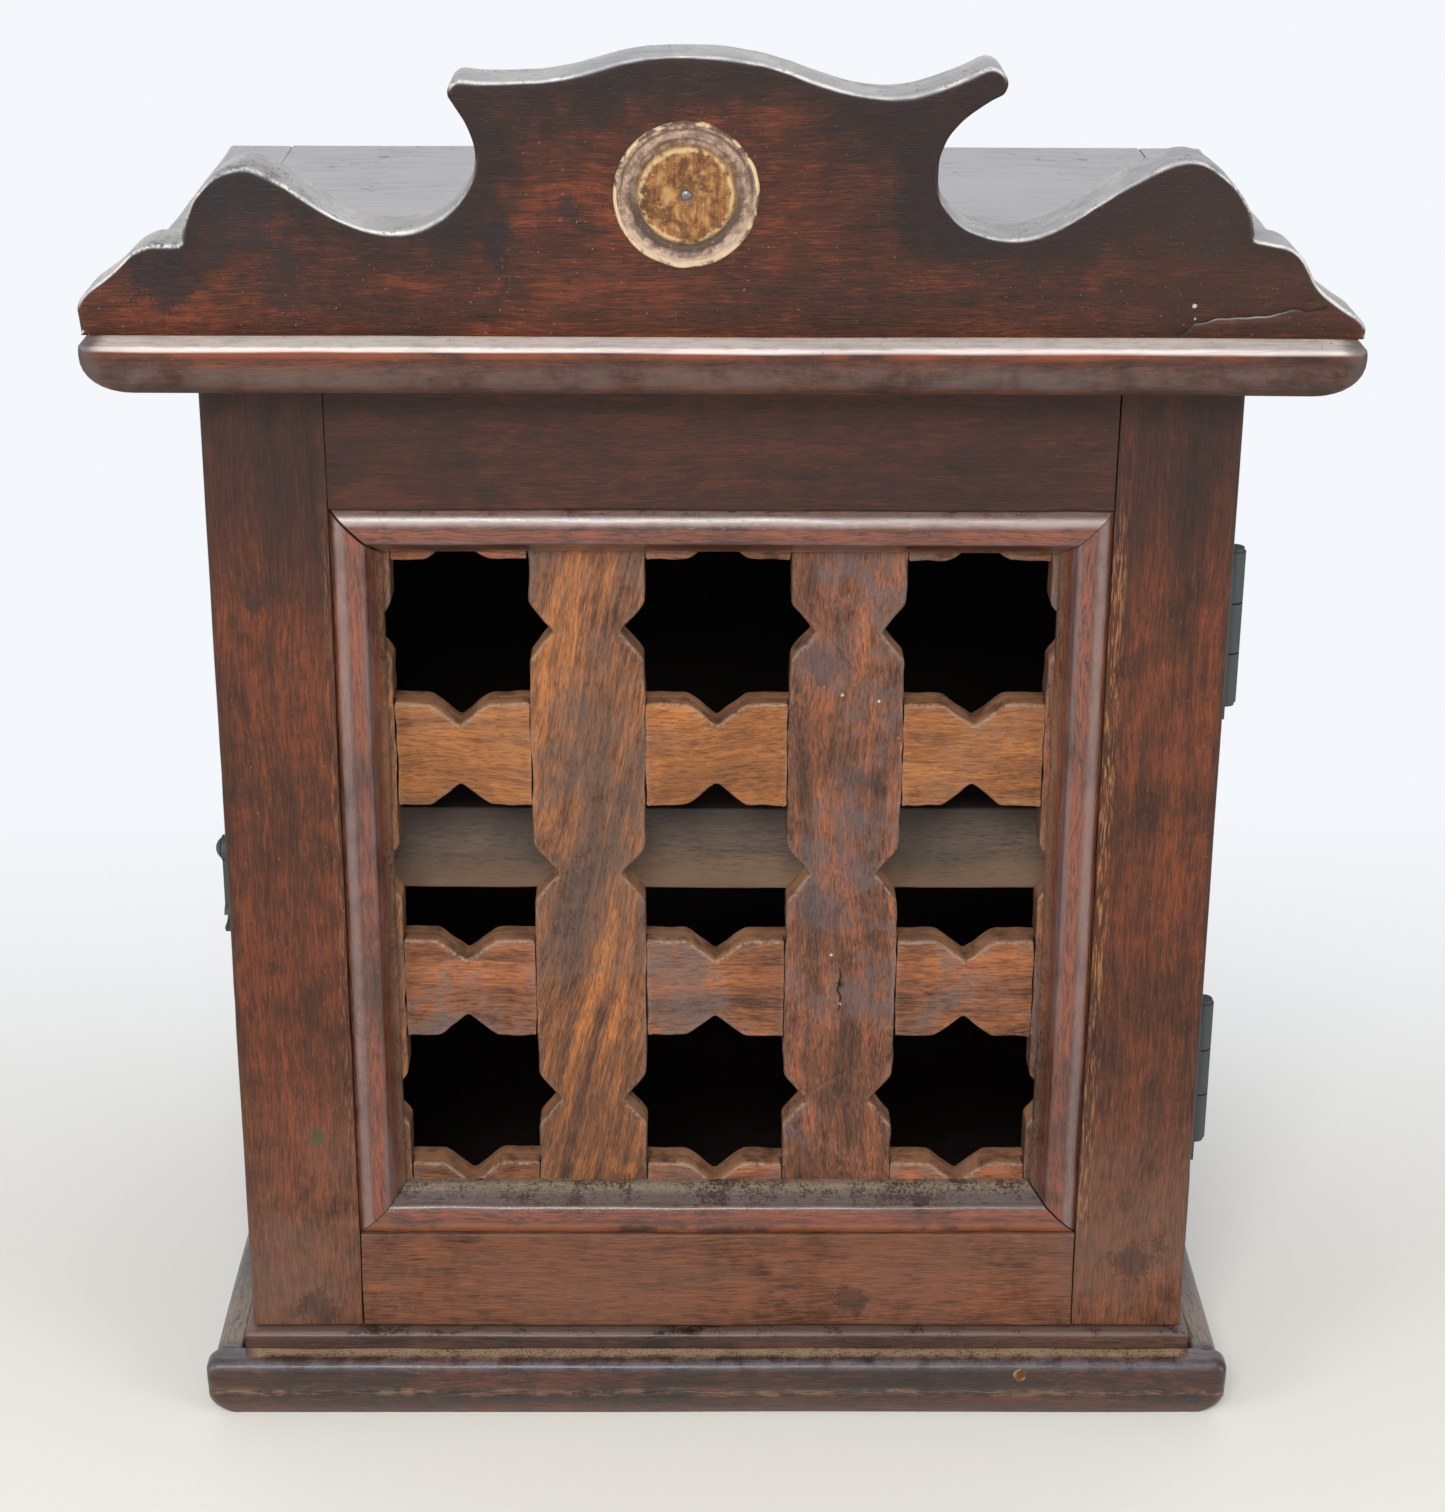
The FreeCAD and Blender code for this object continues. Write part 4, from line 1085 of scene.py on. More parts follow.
class BaseWood(Wood):
    """Wood of the base mouldings, with dust caught on the front face and behind the nosing."""

    LINE = paint(132, 106, 82)
    RUBBED_AND_LIT = paint(118, 62, 38)
    PAINTED_ARRIS_SHEEN = paint(92, 88, 96)
    CORNER = paint(172, 142, 110)
    BESIDE = paint(140, 118, 92)

    def worn(self, p: Patterns, colour: Channel) -> Channel:
        """Return the colour with a dusty line along the face, a rubbed foot and a bluish grey
        painted sheen along the top arrises.
        """
        g = p.graph
        low, high = span("base_front")
        z = g.axes(p.place)[2]
        level = abs(z - (low[2] + high[2]) / 2 + (p.cloud - 0.5) * 5.0 + 0.6)
        broken = (p.small * 0.5 + p.fibre * 0.5).fade(0.44, 0.60)
        front = p.normal[1].fade(-0.6, -0.9)
        rubbed = (z + (p.cloud - 0.5) * 12.0).fade(low[2] + 5.0, low[2] + 1.0) * front
        # Painted sheen: bluish grey along the top arrises of the moulding.
        shoulder = p.edge.fade(3.2, 0.8) * z.fade(high[2] - 4.0, high[2] - 1.2)
        return g.layers(colour, (self.LINE, level.fade(1.7, 0.0) * broken * front * 0.6),
                        (self.RUBBED_AND_LIT, rubbed * p.fibre.fade(0.34, 0.62) * 0.45),
                        (self.PAINTED_ARRIS_SHEEN, shoulder * p.small.fade(0.30, 0.56) * 0.5))

    def edged(self, p: Patterns, colour: Channel) -> Channel:
        """Return the colour with dust caught behind the nosing, against the plinth."""
        g = p.graph
        high = span("base_front")[1]
        x, y, _ = g.axes(p.place)
        strip = y + (p.small - 0.5) * 3.0
        corner = strip.fade(high[1] - 5.4, high[1] - 2.4) * strip.fade(high[1] + 2.0, high[1] + 0.8)
        corner = corner * abs(x).fade(high[0] - 8.0, high[0] - 13.0)
        flat = p.normal[2].fade(0.5, 0.95)
        dusty = corner * flat * (p.fine * 0.6 + p.small * 0.4).fade(0.32, 0.54)
        behind = y - high[1]
        beside = (behind + (p.cloud - 0.5) * 30.0).fade(46.0, 14.0) * behind.fade(1.0, 4.0)
        beside = beside * flat * p.fibre.fade(0.36, 0.58)
        return g.layers(colour, (self.CORNER, dusty * 0.8), (self.BESIDE, beside * 0.7))


class CorniceWood(Wood):
    """Wood of the cornice front, rubbed to orange along its nosing, with a grey painted reflection
    of the floor below it.
    """

    ARRIS = paint(124, 60, 35)
    FLOOR_REFLECTION = paint(92, 79, 74)
    FOOT = paint(206, 178, 144)
    THINNED = paint(142, 124, 116)
    ENDS = paint(78, 64, 60)

    def worn(self, p: Patterns, colour: Channel) -> Channel:
        """Return the colour with the orange arris and a grey painted reflection of the floor on the
        belly of the moulding.
        """
        g = p.graph
        low, high = span("cornice_front")
        z = g.axes(p.place)[2]
        arris = z.fade(high[2] - 2.9, high[2] - 1.7) * p.normal[2].fade(0.7, 0.3)
        # Painted reflection: the lower part of the nosing is greyed for the pale floor it faces.
        belly = abs(z - low[2] - 4.2 + (p.cloud - 0.5) * 4.0).fade(4.6, 0.6)
        patchy = (p.small * 0.5 + p.cloud * 0.5).fade(0.30, 0.60)
        return g.layers(colour, (self.ARRIS, arris * p.cloud.fade(0.34, 0.54) * 0.7),
                        (self.FLOOR_REFLECTION, belly * patchy * 0.72))

    def edged(self, p: Patterns, colour: Channel) -> Channel:
        """Return the colour with tan dust against the crest, thin streaks, and bare ends."""
        g = p.graph
        high = span("cornice_front")[1]
        crest = span("crest_board")[0][1]
        x, y, _ = g.axes(p.place)
        flat = p.normal[2].fade(0.6, 0.95)
        foot = (y + (p.small - 0.5) * 2.0).fade(crest - 2.6, crest - 0.6) * flat
        thin = (p.fibre * 0.5 + p.small * 0.5).fade(0.48, 0.62) * flat
        end = (abs(x) + (p.small - 0.5) * 5.0).fade(high[0] - 6.5, high[0] - 2.0)
        return g.layers(colour, (self.FOOT, foot * p.fine.fade(0.30, 0.60) * 0.75),
                        (self.THINNED, thin * 0.4), (self.ENDS, end * 0.8))


@dataclass(frozen=True)
class SlatWood(Wood):
    """Wood of the lattice: darker sawn edges, paler where they face up by dust and painted light,
    with pale dust where an arris faces up.

    Attributes:
        film: How strongly a film of dust lies in patches on its face.
        film_colour: Colour of that film.
    """

    SAWN_UNDER = paint(80, 60, 47)
    SAWN_LIT_AND_DUSTY = paint(158, 116, 86)
    ARRIS = paint(146, 126, 108)
    CRACK = paint(40, 29, 25)
    rim_share: float = 0.0
    dust: Colour = paint(122, 104, 90)
    coat: float = 0.0
    gloss: float = 0.6
    relief: float = 0.2
    film: float = 0.5
    film_colour: Colour = paint(84, 77, 74)

    def worn(self, p: Patterns, colour: Channel) -> Channel:
        """Return the colour with brown sawn edges, paler where they face up by dust and painted
        light, and a patchy film of dust.
        """
        g = p.graph
        sawn = abs(p.normal[1]).fade(0.75, 0.35)
        above = p.normal[2].fade(0.1, 0.6)
        # Partly painted light: sawn edges that face up take a paler copy of the colour, for dust
        # and light together.
        side = g.mix(self.SAWN_UNDER, self.SAWN_LIT_AND_DUSTY, above * p.small.fade(0.26, 0.60))
        colour = g.mix(colour, side, sawn * 0.78)
        film = (p.cloud * 0.6 + p.small * 0.4).fade(0.47, 0.58) * p.fine.fade(0.24, 0.62)
        colour = g.mix(colour, self.film_colour, film * self.film * (1.0 - sawn))
        dim = p.cloud.fade(0.50, 0.40) * p.small.fade(0.36, 0.56)
        return g.mix(colour, self.deep, dim * 0.35)

    def edged(self, p: Patterns, colour: Channel) -> Channel:
        """Return the colour with pale dust in the rubbed arrises, most where they face up."""
        g = p.graph
        fuzz = (p.fine * 0.6 + p.small * 0.4).fade(0.36, 0.58)
        up = p.normal[2].fade(0.0, 0.5)
        arris = (p.edge + (p.small - 0.5) * 1.2).fade(1.3, 0.0) * fuzz * (0.22 + up * 0.78)
        colour = g.mix(colour, self.ARRIS, arris * 0.85)
        return g.mix(colour, self.CRACK, p.edge.fade(-0.5, -3.5) * 0.9)


@dataclass(frozen=True)
class TurnedWood:
    """Bare turned wood, rubbed and stained, with painted shade in its groove and crease and painted
    light on the lower ring.

    Attributes:
        name: Name of the material.
        centre: Axis of turning (x, z), in millimetres.
        radius: Radius of the turning.
        stain: How strongly a nail has stained its middle, 0 to 1.
    """

    DEEP = paint(82, 50, 27)
    BODY = paint(124, 80, 40)
    WARM = paint(160, 122, 74)
    STAIN = paint(78, 46, 22)
    RING_DARK = paint(112, 90, 78)
    RING_PALE = paint(162, 136, 116)
    RING_GREY = paint(96, 84, 76)
    RING_LIT = paint(192, 168, 144)
    LIP = paint(188, 162, 120)
    GROOVE_SHADE = paint(74, 62, 52)
    CREASE_SHADE = paint(76, 58, 46)
    RIM_DARK = paint(78, 56, 44)
    RIM_PALE = paint(196, 172, 134)
    NAIL = paint(84, 76, 74)
    name: str
    centre: tuple[float, float]
    radius: float
    stain: float = 0.0

    def build(self, grain: Grain) -> bpy.types.Material:
        """Return the material: a mottled disc, a pale lip, a groove and a crease darkened by
        painted shade, and a greyed ring.
        """
        g = Graph(f"{self.name}_{grain.name.lower()}")
        place = g.place()
        centred = g.vector("SUBTRACT", place, (self.centre[0], 0.0, self.centre[1]))
        flat = g.vector("MULTIPLY", centred, (1.0, 0.0, 1.0))
        away = g.node("ShaderNodeVectorMath", {"operation": "LENGTH"}, {0: flat}, "Value")
        up = g.axes(centred)[2]
        fibre = g.noise(g.vector("MULTIPLY", place, grain.value), 0.8, 3.0, 0.7)
        figure = g.noise(g.vector("MULTIPLY", place, (1.0, 1.0, 0.6)), 3.8, 4.0, 0.65, 0.8)
        cloud = g.noise(place, 7.0, 4.0, 0.62, 0.5)
        small = g.noise(place, 2.2, 3.0, 0.6)
        fine = g.noise(place, 0.7, 2.0, 0.6)
        r = away + (small - 0.5) * 1.6
        colour = g.node("ShaderNodeValToRGB", {"stops": (
            (0.41, self.DEEP), (0.50, self.BODY), (0.60, self.WARM))},
            {0: figure * 0.50 + fibre * 0.18 + small * 0.32})
        ring = r.fade(self.radius * 0.675, self.radius * 0.735)
        tan = g.mix(self.RING_DARK, self.RING_PALE, small.fade(0.38, 0.62))
        tan = g.mix(tan, self.RING_GREY, cloud.fade(0.50, 0.60) * 0.7)
        lit = up.fade(-2.0, -13.0) * r.fade(self.radius * 0.82, self.radius * 0.90)
        tan = g.mix(tan, self.RING_LIT, lit * 0.75)
        lip = abs(r - self.radius * 0.635).fade(self.radius * 0.055, self.radius * 0.01)
        lip = lip * small.fade(0.34, 0.56)
        # Painted shade in the groove, heavier below the axis.
        hollow = abs(r - self.radius * 0.735).fade(self.radius * 0.085, self.radius * 0.03)
        hollow = hollow * (0.35 + up.fade(6.0, -6.0) * 0.6)
        # Painted shade in the crease, above the axis.
        crease = abs(r - self.radius * 0.905).fade(self.radius * 0.035, 0.0) * up.fade(-5.0, 3.0)
        rim = away.fade(self.radius * 0.94, self.radius * 0.965)
        patchy = (cloud * 0.9 + small * 0.1).fade(0.40, 0.50)
        edge = g.mix(self.RIM_DARK, self.RIM_PALE, patchy)
        middle = (away + (small - 0.5) * 2.0).fade(2.0, 1.1)
        colour = g.layers(colour, (self.STAIN, cloud.fade(0.52, 0.60) * 0.75), (tan, ring),
                          (self.LIP, lip * 0.85), (self.GROOVE_SHADE, hollow),
                          (self.CREASE_SHADE, crease * 0.85), (edge, rim * 0.9),
                          (self.RIM_PALE, fine.fade(0.60, 0.74) * 0.4),
                          (self.NAIL, middle * self.stain))
        height = fibre * 0.5 + fine * 0.3 + small * 0.9
        return g.finish({"Specular IOR Level": 0.3}, height, 0.30,
                        Base_Color=colour, Roughness=fine * 0.15 + 0.60)


@dataclass(frozen=True)
class Metal:
    """Old metal with a dull skin.

    Attributes:
        name: Name of the material.
        clean: Colour of the bare metal.
        skin: Colour of the darkened surface.
        bloom: Colour of the rust or tarnish.
        bloom_share: How much of it there is, 0 to 1.
        rough: Usual roughness.
    """

    name: str
    clean: Colour
    skin: Colour
    bloom: Colour
    bloom_share: float
    rough: float

    def build(self) -> bpy.types.Material:
        """Return the material: a mottled dark skin, blooms of rust, and rubbed bright places."""
        if self.name in bpy.data.materials:
            return bpy.data.materials[self.name]
        g = Graph(self.name)
        place = g.place()
        cloud = g.noise(place, 5.0, 5.0, 0.62, 0.4)
        fine = g.noise(place, 0.7, 3.0, 0.65)
        rub = g.noise(g.vector("MULTIPLY", place, (1.0, 1.0, 0.2)), 1.5, 3.0, 0.6)
        colour = g.mix(self.skin, self.clean, rub.fade(0.48, 0.68) * 0.6)
        rust = (cloud * 0.7 + fine * 0.3).fade(0.62 - 0.25 * self.bloom_share,
                                               0.72 - 0.25 * self.bloom_share)
        colour = g.mix(colour, self.bloom, rust)
        bare = 0.85 - rust * 0.75
        height = cloud * 0.6 + fine * 0.5
        return g.finish({}, height, 0.10, Base_Color=colour, Metallic=bare,
                        Roughness=self.rough + rust * 0.25 + (fine - 0.5) * 0.15)


WHITE_CHIP = paint(196, 190, 176)
DARK_CHIP = paint(44, 32, 28)
DARK_FILM = paint(70, 64, 66)
SOOT_MARK = paint(34, 27, 27)
PALE_MARK = paint(184, 180, 172)


def marks(node: str, *rows: tuple[float, float, float, Colour, float]) -> tuple[Spot, ...]:
    """Return the spots of one piece from rows of right, up, radius, colour and share."""
    return tuple(Spot(node, (right, up), *rest) for right, up, *rest in rows)


class Finishes:
    """Every finish of the cabinet."""

    CASE = CaseWood(
        "case_wood", body=paint(72, 42, 29), warm=paint(104, 58, 38), dust=paint(126, 108, 102),
        dust_share=0.6, dust_even=0.5, seed=1.0)
    # The pale bluish grey on its top faces is partly dust and partly a painted reflection of the
    # backdrop.
    TOP = CaseWood(
        "top_wood", body=paint(92, 68, 58), warm=paint(128, 92, 74), dust=paint(190, 189, 194),
        dust_share=0.94, dust_even=0.9, shine=0.3, seed=2.0)
    # The pale colour of the ledge is partly dust and partly a painted reflection of the backdrop.
    CORNICE = CorniceWood(
        "cornice_wood", body=paint(70, 41, 30), warm=paint(108, 57, 36), dust=paint(228, 216, 210),
        dust_share=0.96, dust_even=1.0, gloss=0.52, shine=0.26, coat=0.04, seed=3.0)
    # The pale bluish grey on the crest's top faces is partly dust and partly a painted reflection
    # of the backdrop.
    CREST = CrestWood(
        "crest_wood", deep=paint(34, 22, 17), body=paint(68, 35, 22), warm=paint(120, 56, 28),
        contrast=0.62, figured=0.16, grime=paint(34, 28, 28), grime_share=0.26, rim_share=0.0,
        dust=paint(164, 164, 170), dust_share=0.92, dust_even=1.0, specks=0.7, bend=3.0, seed=4.0,
        spots=marks(
            "crest_board", (92.7, 21.1, 5.4, paint(32, 26, 27), 0.75),
            (108.3, 28.4, 4.2, SOOT_MARK, 0.65), (96.8, 10.5, 3.4, SOOT_MARK, 0.55),
            (46.0, 12.0, 9.0, paint(40, 30, 30), 0.5), (19.0, 12.0, 9.0, paint(28, 26, 28), 0.75),
            (38.0, 27.0, 13.0, paint(36, 32, 34), 0.6),
            (247.0, 27.0, 12.0, paint(42, 34, 32), 0.45),
            (247.0, 7.4, 0.55, PALE_MARK, 0.8), (247.2, 4.4, 0.4, PALE_MARK, 0.7)))
    BASE = BaseWood(
        "base_wood", deep=paint(33, 25, 22), body=paint(55, 36, 28), warm=paint(104, 54, 33),
        dust=paint(92, 82, 80), dust_share=0.75, dust_even=0.4, grime_share=0.34, gloss=0.38,
        shine=0.34, coat=0.4, seed=5.0)
    PLINTH = CaseWood(
        "plinth_wood", deep=paint(40, 30, 27), body=paint(70, 49, 41), warm=paint(98, 64, 50),
        dust=paint(112, 92, 84), dust_share=0.8, dust_even=0.7, grime_share=0.35, gloss=0.4,
        shine=0.3, coat=0.2, seed=13.0)
    FRAME = DoorWood(
        "door_wood", grime_share=0.22, contrast=0.8, bend=2.5, seed=6.0,
        spots=(*marks("stile_left", (18.7, 54.8, 3.6, paint(50, 66, 46), 0.7)),
               *marks("rail_bottom", (144.2, 7.6, 5.0, paint(44, 33, 30), 0.5)),
               *marks("stile_left", (17.2, 6.4, 6.0, paint(44, 34, 31), 0.45)),
               *marks("stile_right", (14.8, 19.3, 8.0, paint(48, 38, 35), 0.5)),
               *marks("stile_left", (11.0, 199.0, 6.0, paint(38, 29, 28), 0.5)),
               *marks("rail_top", (57.0, 2.8, 4.0, paint(34, 28, 27), 0.5))))
    MOULDING = MouldingWood(
        "moulding_wood", deep=paint(44, 27, 21), body=paint(82, 46, 33), warm=paint(120, 62, 40),
        rim_share=0.0, dust=paint(90, 78, 72), dust_share=0.9, dust_even=0.6, gloss=0.31, shine=0.4,
        coat=0.6, grime_share=0.26, seed=7.0)
    SLAT_LEFT = SlatWood(
        "slat_left_wood", deep=paint(64, 44, 36), body=paint(114, 74, 48), warm=paint(168, 104, 56),
        contrast=0.95, figured=0.42, grime=paint(72, 62, 55), grime_share=0.34, bend=3.0, swirl=0.1,
        lean=-0.20, film=0.45, film_colour=paint(90, 75, 68), pores=0.35, seed=8.0)
    SLAT_RIGHT = SlatWood(
        "slat_right_wood", deep=paint(58, 41, 34), body=paint(108, 68, 48), warm=paint(156, 90, 56),
        contrast=0.9, figured=0.28, grime=paint(72, 65, 62), grime_share=0.36, bend=7.0, swirl=0.3,
        specks=0.6, film=0.8, film_colour=paint(82, 76, 76), pores=0.5, seed=9.5,
        spots=marks(
            "lattice_slat_right", (21.6, 141.4, 0.5, WHITE_CHIP, 0.85),
            (11.4, 74.4, 0.55, WHITE_CHIP, 0.85), (13.7, 61.0, 0.5, WHITE_CHIP, 0.85),
            (12.8, 143.0, 0.4, WHITE_CHIP, 0.6), (13.8, 66.6, 1.5, DARK_CHIP, 0.9),
            (7.0, 152.0, 7.5, DARK_FILM, 0.7), (16.0, 122.0, 5.0, DARK_FILM, 0.5),
            (8.0, 86.0, 7.5, DARK_FILM, 0.6)))
    SLAT_UPPER = SlatWood(
        "slat_upper_wood", deep=paint(88, 56, 36), body=paint(138, 86, 47),
        warm=paint(174, 110, 56), contrast=0.8, figured=0.3, grime=paint(84, 66, 54),
        grime_share=0.2, bend=6.0, swirl=0.3, film=0.3, seed=10.0)
    SLAT_LOWER = SlatWood(
        "slat_lower_wood", deep=paint(66, 44, 34), body=paint(124, 76, 48), warm=paint(164, 98, 58),
        contrast=0.9, figured=0.32, grime=paint(78, 72, 74), grime_share=0.34, bend=6.0, swirl=0.3,
        film=0.65, film_colour=paint(88, 82, 80), seed=10.7)
    INNER = RailWood(
        "inner_wood", deep=paint(74, 66, 60), body=paint(114, 97, 84), warm=paint(144, 112, 88),
        contrast=0.6, grime=paint(86, 80, 74), grime_share=0.45, rim=paint(84, 76, 70),
        dust=paint(150, 142, 134), dust_share=0.7, gloss=0.7, coat=0.0, relief=0.16, seed=11.0)
    BACK = CaseWood(
        "back_wood", deep=paint(34, 27, 22), body=paint(58, 46, 37), warm=paint(80, 61, 46),
        grime_share=0.4, dust_share=0.3, gloss=0.7, coat=0.0, seed=12.0)
    IRON = Metal("hinge_iron", paint(98, 100, 104), paint(50, 52, 55), paint(62, 52, 45), 0.35, 0.5)
    STEEL = Metal("nail_steel", paint(100, 97, 94), paint(54, 51, 50), paint(70, 48, 34), 0.6, 0.6)
    BRASS = Metal(
        "hook_brass", paint(188, 150, 84), paint(132, 102, 52), paint(70, 60, 38), 0.5, 0.4)


# ---- Pieces ----
@dataclass
class Piece:
    """One finished piece of the cabinet.

    Attributes:
        node: Construction node that it stands for.
        body: Body that it rides on.
        slot: Material slot of the record; not used.
        surface: Its shape.
        finish: Its material.
        crease: Angle past which an edge stays sharp, in degrees.
    """

    node: str
    body: str
    slot: str
    surface: Surface
    finish: bpy.types.Material
    crease: float = 50.0

    def make(self) -> bpy.types.Object:
        """Turn the surface into an object and say what it stands for."""
        low, high = (np.array(corner) / MM for corner in CAD_BOX)
        points = np.clip(self.surface.points, low, high) * MM
        mesh = bpy.data.meshes.new(f"{self.node}_worn")
        mesh.from_pydata(points.tolist(), [], self.surface.faces)
        mesh.attributes.new("edge", "FLOAT", "POINT").data.foreach_set(
            "value", self.surface.edge.astype(np.float32))
        work = bmesh.new()
        work.from_mesh(mesh)
        bmesh.ops.remove_doubles(work, verts=work.verts, dist=WELD)
        bmesh.ops.recalc_face_normals(work, faces=work.faces)
        work.to_mesh(mesh)
        work.free()
        mesh.shade_smooth()
        mesh.set_sharp_from_angle(angle=math.radians(self.crease))
        mesh.materials.append(self.finish)
        made = bpy.data.objects.new(f"{self.node}_worn", mesh)
        bpy.context.scene.collection.objects.link(made)
        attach(made, self.body)
        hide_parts(self.node)
        LOG.info("%s: %d points, rides on %s", made.name, len(mesh.vertices), self.body)
        return made


@dataclass
class Joinery:
    """What every wooden sub-assembly shares.

    Attributes:
        body: Body that the pieces ride on.
        slot: Their material slot.
        hand: Unevenness of their surfaces.
        pieces: The pieces made so far.
    """

    body: str = "case"
    slot: str = "frame_wood"
    hand: Handwork = Handwork()
    pieces: list[bpy.types.Object] = field(default_factory=list)

    def add(self, node: str, surface: Surface, finish: bpy.types.Material, slot: str = "",
            crease: float = 50.0) -> None:
        """Sway a surface with its neighbours and make its piece."""
        surface = Surface(self.hand.swayed(surface.points), surface.faces, surface.edge)
        piece = Piece(node, self.body, slot or self.slot, surface, finish, crease)
        self.pieces.append(piece.make())

    def add_board(self, node: str, finish: bpy.types.Material, sides: Sides = Sides(),
                  corner: float | tuple[float, ...] = 0.5, trim: tuple[float, ...] = (0.0,) * 6,
                  step: float = 5.0, slot: str = "", seed: int = 0) -> None:
        """Make a worn board in the place of a construction node.

        Args:
            node: The node.
            finish: Its material.
            sides: Rounding of its sides.
            corner: Radius of its upright corners.
            trim: How much less than the node it takes up: left, right, front, back, foot, head.
            step: Usual distance between points.
            slot: Material slot, if not the sub-assembly's.
            seed: Start of the random series.
        """
        low, high = span(node)
        low = low + np.array([trim[0], trim[2], trim[4]])
        high = high - np.array([trim[1], trim[3], trim[5]])
        surface = board(low, high, sides, corner, step)
        surface = self.hand.rubbed(surface, low, high, seed or len(self.pieces) * 7 + len(node))
        self.add(node, surface, finish, slot)


@dataclass
class Base(Joinery):
    """The moulded base: bottom board, its edge mouldings and the peg in the front one."""

    front: Side = Side(4.0, 13.8, 2.6)
    end: Side = Side(4.6, 7.0, 2.6)
    groove_rise: float = 8.2
    groove_depth: float = 0.45
    peg_radius: float = 1.9
    peg_dome: float = 0.25

    def build(self) -> None:
        """Make the mouldings, the board and the peg."""
        front, end = self.front, self.end
        low, high = span("base_front")
        surface = board(low, high, Sides(end, end, front, soft(0.3)), 2.2, 3.0)
        sag = self.groove_rise + 0.4 * Ripple(31, 60.0).at(surface.points)
        level = surface.points[:, 2] - low[2] - sag
        hollow = np.exp(-(level / 0.8) ** 2) * (surface.points[:, 1] < high[1] - 1.0)
        surface.points[:, 1] += hollow * self.groove_depth
        surface = self.hand.rubbed(surface, low, high, 41)
        self.add("base_front", surface, Finishes.BASE.build(Grain.ACROSS))
        wood = Finishes.BASE.build(Grain.DEEP)
        self.add_board("base_left", wood, Sides(left=front, right=soft(0.8)), 0.4)
        self.add_board("base_right", wood, Sides(right=front, left=soft(0.8)), 0.4)
        lip = soft(0.5, 1.3)
        self.add_board("bottom_board", Finishes.PLINTH.build(Grain.ACROSS), Sides(lip, lip, lip),
                       0.8, (0.0, 0.0, 0.0, 0.2, 0.25, 0.0))

    def dress(self) -> None:
        """Cap the peg: a low dome of end grain on the face of the front moulding."""
        low, high = span("base_peg")
        centre = (low[0] + high[0]) / 2, (low[2] + high[2]) / 2
        share, angle = rings(0.02, 8, 40)
        level = low[1] + 0.1 - self.peg_dome * (1 - share ** 4) + 1.2 * (share > 0.99)
        surface = turned(centre, self.peg_radius * share, level, angle)
        finish = TurnedWood("peg_wood", centre, 2.6).build(Grain.DEEP)
        self.add("base_peg", surface, finish, "pale_wood")


@dataclass
class Case(Joinery):
    """Side panels, back board and the rail across the case behind the door."""

    def build(self) -> None:
        """Make the panels and boards; the sides stand back a little behind their nail heads."""
        wood = Finishes.CASE.build(Grain.UPRIGHT)
        plain = soft(0.7)
        for node, trim in (("side_left", (0.12, 0)), ("side_right", (0, 0.12))):
            self.add_board(node, wood, Sides(*[plain] * 4), 0.7, trim + (0,) * 4, 6.0)
        low, high = span("back_board")
        low, high = low + np.array([0, 0, 0.1]), high - np.array([0, 0.3, 0.1])
        surface = board(low, high, Sides(), 0.4, 7.0)
        self.add("back_board", surface, Finishes.BACK.build(Grain.UPRIGHT), "inner_wood")

    def dress(self) -> None:
        """Fit the rail that carries the hooks."""
        finish = Finishes.INNER.build(Grain.ACROSS)
        self.add_board("cross_rail", finish, slot="inner_wood", step=3.0)


@dataclass
class Cornice(Joinery):
    """Cornice mouldings with their nosing, and the top board between them."""

    front: Side = Side(4.4, 9.0, 1.6)
    end: Side = Side(9.0, 9.0, 0.5)

    def build(self) -> None:
        """Make the three mouldings."""
        front, end = self.front, self.end
        self.add_board("cornice_front", Finishes.CORNICE.build(Grain.ACROSS),
                       Sides(end, end, front, soft(0.3)), 2.4, step=3.0)
        wood = Finishes.TOP.build(Grain.DEEP)
        tight = soft(0.4)
        self.add_board("cornice_left", wood, Sides(end, tight, tight, soft(0.8, 1.6)), 0.6)
        self.add_board("cornice_right", wood, Sides(tight, end, tight, soft(0.8, 1.6)), 0.6)

    def dress(self) -> None:
        """Lay the top board."""
        tight = soft(0.3)
        self.add_board("top_board", Finishes.TOP.build(Grain.ACROSS),
                       Sides(tight, tight, tight, soft(0.8, 1.0)), 0.3, step=6.0)


